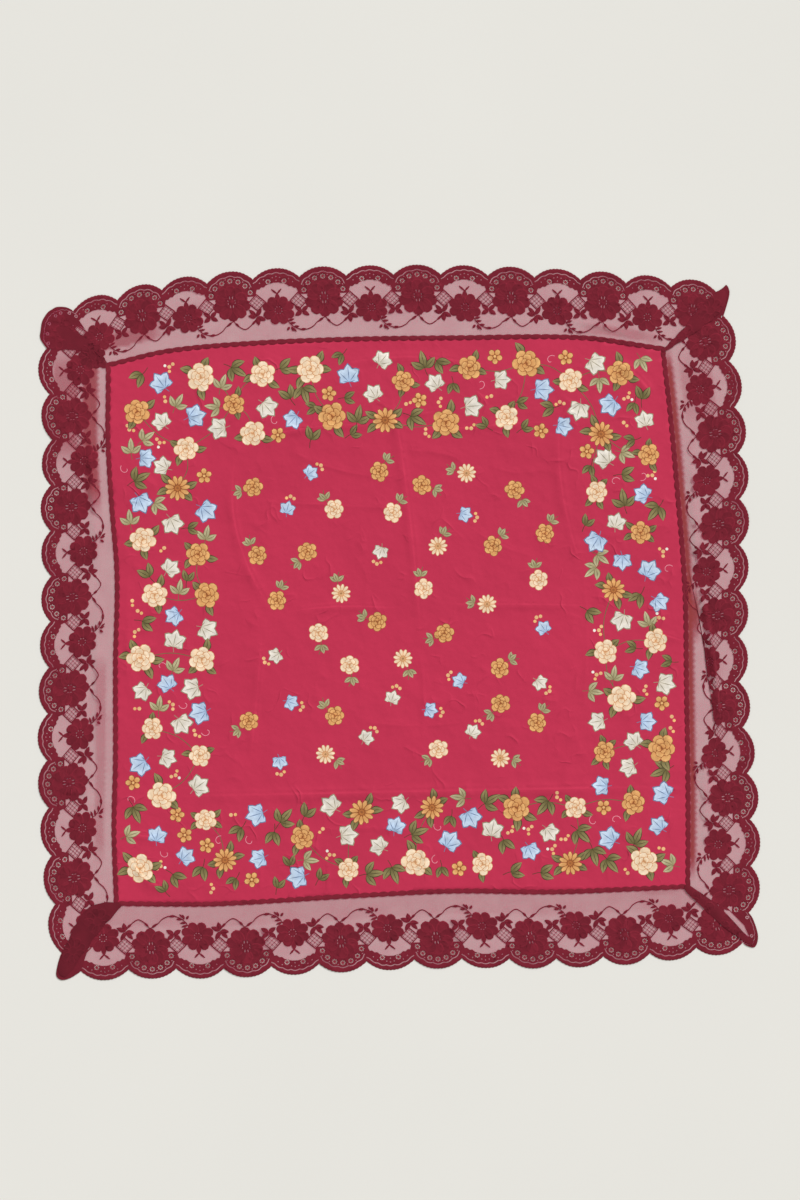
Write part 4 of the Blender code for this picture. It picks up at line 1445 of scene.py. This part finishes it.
def corner_outline(corner_name, pull=0.0):
    """The lobe's edge as a smooth curve, from the run that finishes here to the one that begins."""
    corner = CORNERS[corner_name]
    stations = list(corner.lobe)
    for side in SIDES.values():
        if side.finish == corner_name:
            stations.insert(0, edge_point(side, valley(side, side.scallops)))
        if side.begin == corner_name:
            stations.append(edge_point(side, valley(side, 0)))
    line = smooth_line(stations, LOBE_STEPS)[1:-1]
    inward = np.array(corner.square) - line
    return line + inward / np.hypot(*inward.T)[:, None] * pull


def mitre_point(corner, offset=0.0):
    out = mitre_direction(corner)
    return np.array(corner.square) + out * MITRE_BUTT + np.array((-out[1], out[0])) * offset


def lower_run(corner_name):
    """The run that lies below at a corner, and the number of its valley nearest to it."""
    for name, side in SIDES.items():
        if corner_name in (side.begin, side.finish) and CORNERS[corner_name].upper != name:
            return side, side.scallops if side.finish == corner_name else 0


def hidden_end(corner_name):
    """The lower run's edge round the lobe, from its own last valley to where it ends."""
    side, _number = lower_run(corner_name)
    corner = CORNERS[corner_name]
    points = corner_outline(corner_name, LOBE_PULL)
    place = (corner.lower_end * (len(corner.lobe) - 1) + 1) * LOBE_STEPS - 1
    k = min(int(place), len(points) - 2)
    end = points[k] + (points[k + 1] - points[k]) * (place - k)
    kept = points[:k + 1] if side.finish == corner_name else points[k + 1:][::-1]
    return np.concatenate([kept, [end]])


def free_edge(corner_name, steps=8):
    """The upper run's free edge, from the lower run's valley in to the mitre."""
    corner = CORNERS[corner_name]
    side, number = lower_run(corner_name)
    outer, inner = edge_point(side, valley(side, number), -FREE_INSET), mitre_point(corner)
    run = (inner - outer) / np.hypot(*(inner - outer))
    u = np.arange(steps)[:, None] / steps
    return outer + (inner - outer) * u + np.array((-run[1], run[0])) * corner.free_bow * np.sin(math.pi * u)


def doubled_zone(corner_name):
    """Where the two runs lie one on the other."""
    return np.concatenate([hidden_end(corner_name)[::-1], free_edge(corner_name),
                           [mitre_point(CORNERS[corner_name])]])


print("edge hidden at each corner:", {key: len(hidden_end(key)) for key in CORNERS})

# %% Outline of a run


def run_end(name, corner_name, at_finish):
    corner = CORNERS[corner_name]
    butt = [mitre_point(corner, PIECE_GAP / 2 if at_finish else -PIECE_GAP / 2)]
    if corner.upper != name:
        return np.concatenate([hidden_end(corner_name), butt])
    lobe = corner_outline(corner_name)
    return np.concatenate([lobe if at_finish else lobe[::-1], free_edge(corner_name), butt])


def lace_outline(name, side):
    """The whole cut shape of one run: heading, one end, scalloped edge, other end."""
    heading = scalloped_heading(side)
    run = side_axes(side)[1]
    heading[0] += run * PIECE_GAP
    heading[-1] -= run * PIECE_GAP
    points = np.concatenate([heading, run_end(name, side.finish, True)[::-1], scalloped_edge(side)[::-1],
                             run_end(name, side.begin, False)])
    return points[np.hypot(*(points - np.roll(points, 1, axis=0)).T) > PIECE_GAP]


print("places on the outlines:", {name: len(lace_outline(name, side)) for name, side in SIDES.items()})

# %% [markdown]
# ## Pleats at the corners
#
# A straight lace has too much edge for a corner. The surplus is folded into a pleat on the mitre,
# which shows as a dark band of doubled work from the square's corner to the lobe. Three of them are
# small sheets of their own over the run, with the same petals in their plan. The fourth lies pressed
# flat, so it is drawn in the run's own plan.

# %% Pleats and lobes
Pleat = namedtuple("Pleat", "tone turn flowers outline")
PLEATS = {
    "top_left": Pleat(0.86, 0.3, (-16.0,), (
        (-363, 324), (-374, 338), (-387, 354), (-405, 364), (-420, 370), (-428, 366), (-420, 356),
        (-405, 345), (-391, 333), (-378, 322), (-366, 318))),
    "top_right": Pleat(0.92, 0.1, (-24.0, 24.0), (
        (328, 341), (336, 347), (346, 357.5), (358, 370), (374, 391), (391, 408), (404, 416), (409, 413),
        (410, 405), (405, 393), (398, 384), (387, 375), (370, 362), (354, 352), (342, 344.5), (332, 338))),
    "bottom_right": Pleat(0.85, 0.2, (-24.0, 24.0), (
        (362, -327), (374, -335), (386, -343), (400, -354), (412, -366), (424, -379), (437, -394),
        (443, -401), (438, -402), (422, -391), (404, -378), (389, -364), (374, -350), (360, -337),
        (357, -329))),
    "bottom_left": Pleat(0.76, 0.4, (-24.0, 24.0), (
        (-350, -350), (-347, -355), (-360, -370), (-375, -387), (-389, -405), (-403, -426), (-414, -441),
        (-423, -440), (-425, -428), (-418, -408), (-409, -389), (-401, -373), (-391, -359), (-372, -350))),
}
RAISED_PLEATS = ("top_right", "bottom_right", "bottom_left")
# How deep each lobe's close work is, and its number of eyelets
LOBE_WORK = {"top_left": (30.0, 7), "top_right": (12.0, 0), "bottom_right": (14.0, 3),
             "bottom_left": (24.0, 0)}
# The net that shows beside one pleat, and the close work round it
SLIT = ((406, -358), (414, -360), (432, -378), (438.5, -392), (434, -393.5), (418, -376.5), (409, -364))
SLIT_WORK = ((402, -354), (412, -357), (417, -362), (428, -364), (441, -373), (445, -386), (441, -398),
             (420, -384), (404, -366))


def draw_pleat(plan, corner_name):
    """The pleat's close work: a dark band with petals."""
    pleat = PLEATS[corner_name]
    outline = smooth_line(pleat.outline + pleat.outline[:1], 3)[:-1]
    outline += 0.7 * np.sin(1.9 * np.arange(len(outline)))[:, None] * (-0.7, 0.7)
    plan.press(outline)
    plan.shape(outline, work(pleat.tone))
    middle, out = outline.mean(axis=0), mitre_direction(CORNERS[corner_name])
    for step in pleat.flowers:
        for k, angle in enumerate(evenly(9, pleat.turn)):
            tone = pleat.tone * (0.97, 1.03, 0.94)[k % 3]
            padded_petal(plan, tuple(middle + out * step), 11.0, 7.0, 5.2, angle, tone, 10)
    return outline


def draw_lobe(plan, corner_name):
    """A lobe's close work."""
    depth = LOBE_WORK[corner_name][0]
    band = np.concatenate([corner_outline(corner_name, -1.0), corner_outline(corner_name, depth)[::-1]])
    for outline, tone in ((doubled_zone(corner_name), 0.88), (band, 0.9)):
        plan.press(outline)
        plan.shape(outline, work(tone))
    if corner_name == "bottom_right":
        plan.press(SLIT_WORK)
        plan.shape(SLIT_WORK, work(0.95))
        plan.shape(SLIT, NET)


def open_rim(plan, corner_name):
    """A lobe's open line and eyelets, at the same places in both runs, so that they show."""
    eyelets = LOBE_WORK[corner_name][1]
    wave = corner_outline(corner_name, 5.0)
    wave += 0.5 * np.sin(np.arange(len(wave)) * 1.9)[:, None] * mitre_direction(CORNERS[corner_name])
    if eyelets:
        plan.shape(ribbon(wave, 0.4), NET)
    stations = corner_outline(corner_name, 9.5)
    for k in range(eyelets):
        x, y = stations[round((k + 0.5) / eyelets * (len(stations) - 1))]
        plan.shape(ring((x, y), 2.3, 8), NET)
        plan.shape(ring((x, y), 1.0, 6), work(0.95))


# %% [markdown]
# ## Cutting one run of lace
#
# Everything above comes together here: the plan of a run, the height of every point of it, and the
# mesh. Where lace lies on the cloth or on more lace it is higher, and the surface under the sheer
# net shows through. In a few strips the net lies folded on itself and takes a painted warm shade, and
# a value stored on the mesh says where.

# %% Heights and doubled places
LACE_REST = 0.35                        # the net's height where the lace lies on the surface
LACE_ON_CLOTH = 0.55                    # how much higher it lies on the cloth or on more lace
LACE_SWELL = (21.0, 0.5)                # size and height of the swells of loose lace
SWELL_FROM_HEADING = 20                 # they grow to their full height over this width
LAP_FLAT, LAP_FOOT = 7.0, 17.0          # outward of the heading, the step down from the hem's lap
LAP_MARGIN, LAP_SLOPE = 2.5, 10.0       # the same step beside a corner's lap
# How softly the doubled strips with their painted warm shade begin and end: at the inner and outer edge, and
# along the side
SOFT_INNER, SOFT_OUTER, SOFT_ALONG = 2.5, 4, 40
# Net lying on itself, with a painted warm shade: from and to outward of the heading, from and to along the
# side, and how fully
DOUBLED_SHADE_PLACES = {
    "top": ((8, 20, 600, 680, 0.3), (20, 40, -20, 60, 0.5)),
    "right": ((4, 11, 10, 650, 1), (9, 18, 305, 355, 0.9), (20, 60, 20, 90, 0.2)),
    "bottom": ((4, 30, -40, 800, 0.12), (4, 9, 0, 60, 0.3)),
    "left": ((15, 33, 500, 685, 0.75), (40, 70, 560, 680, 0.4), (14, 26, 60, 300, 0.25)),
}


def from_heading(side, places):
    """How far along a side places lie, and how far out from its heading."""
    begin, run, out, _length = side_axes(side)
    along = (places - begin) @ run
    return along, (places - begin) @ out - between_sections(side.sections, "bow", along)


def lace_heights(name, side, places):
    _along, outward = from_heading(side, places)
    up = 1 - smooth_step((outward - LAP_FLAT) / (LAP_FOOT - LAP_FLAT))
    for key in (side.begin, side.finish):
        if CORNERS[key].upper != name:
            continue
        zone = doubled_zone(key)
        joint = [CORNERS[key].square, mitre_point(CORNERS[key])]
        apart = np.where(inside(places, zone), 0.0, np.abs(beside_line(places, closed_line(zone))[0]))
        apart = np.minimum(apart, np.abs(beside_line(places, joint)[0]))
        up = np.maximum(up, 1 - smooth_step((apart - LAP_MARGIN) / LAP_SLOPE))
    heights = LACE_REST + LACE_ON_CLOTH * up + fold_heights(places, LACE_FOLDS[name])
    return heights + ripple(places, *LACE_SWELL) * (1 - up) * smooth_step(outward / SWELL_FROM_HEADING)


# How fully each place is net folded on itself with a painted warm shade, 0 to 1.
def doubled_shade_values(name, side, places):
    along, outward = from_heading(side, places)
    total = np.zeros(len(places))
    for inner, outer, begin, finish, strength in DOUBLED_SHADE_PLACES[name]:
        for off, soft in ((outward - inner, SOFT_INNER), (outer - outward, SOFT_OUTER),
                          (along - begin, SOFT_ALONG), (finish - along, SOFT_ALONG)):
            strength = strength * smooth_step(off / soft + 0.5)
        total = np.maximum(total, strength)
    return total


# %% The plan of a run
LACE_ROWS = ((-1.0, -0.6, -0.3, 0.0, 0.16, 0.28, 0.4, 0.65, 1.0), 5.5)
GRID_LACE = 4.5
GRID_RELIEF = 0.12
BAND_IN = 21.0                          # the edge's close work reaches this far in
HEADING_OUT = 4.0                       # the heading's woven band ends this far from its line
PAIR_IN, PAIR_APART = 3.75, 20.0        # the two eyelets over a small flower
EYELET_MARGIN = 6.0                     # an eyelet nearer than this to an end isn't cut through


def draw_scallop(chart, number, opens):
    if is_large(chart.side, number):
        large_flower(chart)
        open_line_large(chart)
        for x, v in around_flower(FLOWER_RING, FLOWER_ANGLES):
            eyelet(chart, x / chart.scale, v, opens(chart, x, v))
        specks(chart, around_flower(SPECK_RING, SPECK_ANGLES))
        vines(chart)
        return
    small_flower(chart)
    open_line_small(chart)
    for x in (-PAIR_APART / 2, PAIR_APART / 2):
        eyelet(chart, x / chart.scale, PAIR_IN, opens(chart, x, PAIR_IN))
    specks(chart, SMALL_SPECKS)
    for way in (-1, 1):
        lattice(chart, way * SCALLOP_WIDE / 2, -way)
        tie_leaves(chart, way * SCALLOP_WIDE / 2, -way)


def draw_tuck(plan, side, steps=40):
    """The shadow line of the tuck, thin at its ends."""
    along = np.linspace(TUCK_LINE[0][0], TUCK_LINE[-1][0], steps)
    tuck = edge_point(side, along, -np.interp(along, *zip(*TUCK_LINE)))
    plan.shape(ribbon(tuck, 0.1 + 0.4 * np.sin(np.linspace(0, math.pi, steps))), work(0.6))


def draw_heading(plan, side):
    """The woven heading: a close band with a cord along each edge."""
    band = scalloped_heading(side, 6, 0.9, HEADING_OUT, 1, HEADING_OUT)
    plan.shape(np.concatenate([scalloped_heading(side), band[::-1]]), work(1.1))
    for outward, level in ((-0.4, CORD), (1.6, PAD), (HEADING_OUT - 0.7, CORD)):
        plan.line(scalloped_heading(side, 3, 0.6, outward)[1:-1], level)


def lace_plan(name, side):
    plan = Plan()
    outline = lace_outline(name, side)
    plan.shape(outline, NET)
    plan.add(triangle_grid(outline, GRID_LACE), GRID_RELIEF)
    lines_over_folds(plan, LACE_FOLDS[name], *LACE_ROWS)
    uppers = [key for key in (side.begin, side.finish) if CORNERS[key].upper == name]

    def opens(chart, x, v):
        """Whether an eyelet is cut through, as in the solids."""
        place = edge_point(side, chart.middle + x, -v)[None]
        doubled = any(inside(place, doubled_zone(key))[0] for key in uppers)
        return (not doubled and inside(place, outline)[0]
                and abs(beside_line(place, closed_line(outline))[0][0]) > EYELET_MARGIN)

    numbers = range(-1, side.scallops + 1)
    inner = np.arange(valley(side, -1), valley(side, side.scallops + 1), 6.0)
    plan.shape(np.concatenate([scalloped_edge(side, -1, side.scallops + 1),
                               edge_point(side, inner, -BAND_IN)[::-1]]), work(1.02))
    for number in numbers:
        if not is_large(side, number):
            window(Chart(plan, name, number))
    for number in numbers:
        draw_scallop(Chart(plan, name, number), number, opens)
    for inset, level in ((0.7, CORD), (3.2, PAD)):
        plan.line(scalloped_edge(side, 0, None, inset, 14)[1:-1], level)
    for key in (side.begin, side.finish):
        if key not in RAISED_PLEATS:
            draw_pleat(plan, key)
        if key in uppers:
            draw_lobe(plan, key)
        open_rim(plan, key)
    if name == "right":
        draw_tuck(plan, side)
    draw_heading(plan, side)
    return plan


# %% Cut sheets
GRID_PLEAT = 3.5
PLEAT_LIFT, PLEAT_ROLL, PLEAT_EASE = 0.6, 0.7, 7.0   # over the run, more in its middle, and how soon


def pleat_sheet(corner_name):
    """A raised pleat: its plan, and the function of its heights."""
    plan = Plan()
    outline = draw_pleat(plan, corner_name)
    plan.add(triangle_grid(outline, GRID_PLEAT, 1.0), PAD)
    rim = closed_line(outline)

    def heights(places):
        runs = [(name, side) for name, side in SIDES.items() if corner_name in (side.begin, side.finish)]
        below = np.max([lace_heights(name, side, places) for name, side in runs], axis=0)
        roll = smooth_step(np.abs(beside_line(places, rim)[0]) / PLEAT_EASE)
        return below + PLEAT_LIFT + PLEAT_ROLL * roll

    return plan, heights


def cut_sheet(plan, height_at):
    """Cut a plan, and give its places, heights, triangles and paints."""
    places, kept, levels, _sources = plan.cut()
    kept = [(face, plan.paints[owner]) for face, owner in kept if plan.paints[owner].kind != "hole"]
    used = sorted({k for face, _paint in kept for k in face})
    renumber = {k: i for i, k in enumerate(used)}
    sheer = list({k for face, paint in kept if paint.kind == "net" for k in face})
    levels[sheer] = 0.0
    triangles = [[renumber[k] for k in face] for face, _paint in kept]
    return places[used], (height_at(places) + levels)[used], triangles, [paint for _face, paint in kept]


# %% Build the lace


def build_lace(name, side, finishes):
    sheets = [cut_sheet(lace_plan(name, side), lambda places: lace_heights(name, side, places))]
    for key in (side.begin, side.finish):
        if CORNERS[key].upper == name and key in RAISED_PLEATS:
            sheets.append(cut_sheet(*pleat_sheet(key)))
    places, heights, triangles, paints = [], [], [], []
    for sheet in sheets:
        first = sum(len(part) for part in places)
        places.append(sheet[0])
        heights.append(sheet[1])
        triangles += [[first + k for k in face] for face in sheet[2]]
        paints += sheet[3]
    places = np.concatenate(places)
    slots = [0 if paint.kind == "work" else 1 for paint in paints]
    thing = new_piece("lace_" + name, places, np.concatenate(heights), triangles, finishes, slots)
    set_values(thing, "tone", np.repeat([paint.tone for paint in paints], 3))
    # where the net lies folded on itself, with its painted warm shade
    set_values(thing, "doubled", doubled_shade_values(name, side, places), "POINT")
    print(name, "lace:", len(triangles), "triangles")
    return thing


finishes = [work_material(), net_material()]
laces = {}
for name, side in SIDES.items():
    laces[name] = build_lace(name, side, finishes)
    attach(laces[name], "root")
    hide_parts("lace_edging_" + name)

# %% [markdown]
# ## The last step
#
# The square is a true square cut, and each run of lace is cut on the mitre from one long galloon.
# All that is left is to bring the scene up to date.

# %% Finish
bpy.context.view_layer.update()
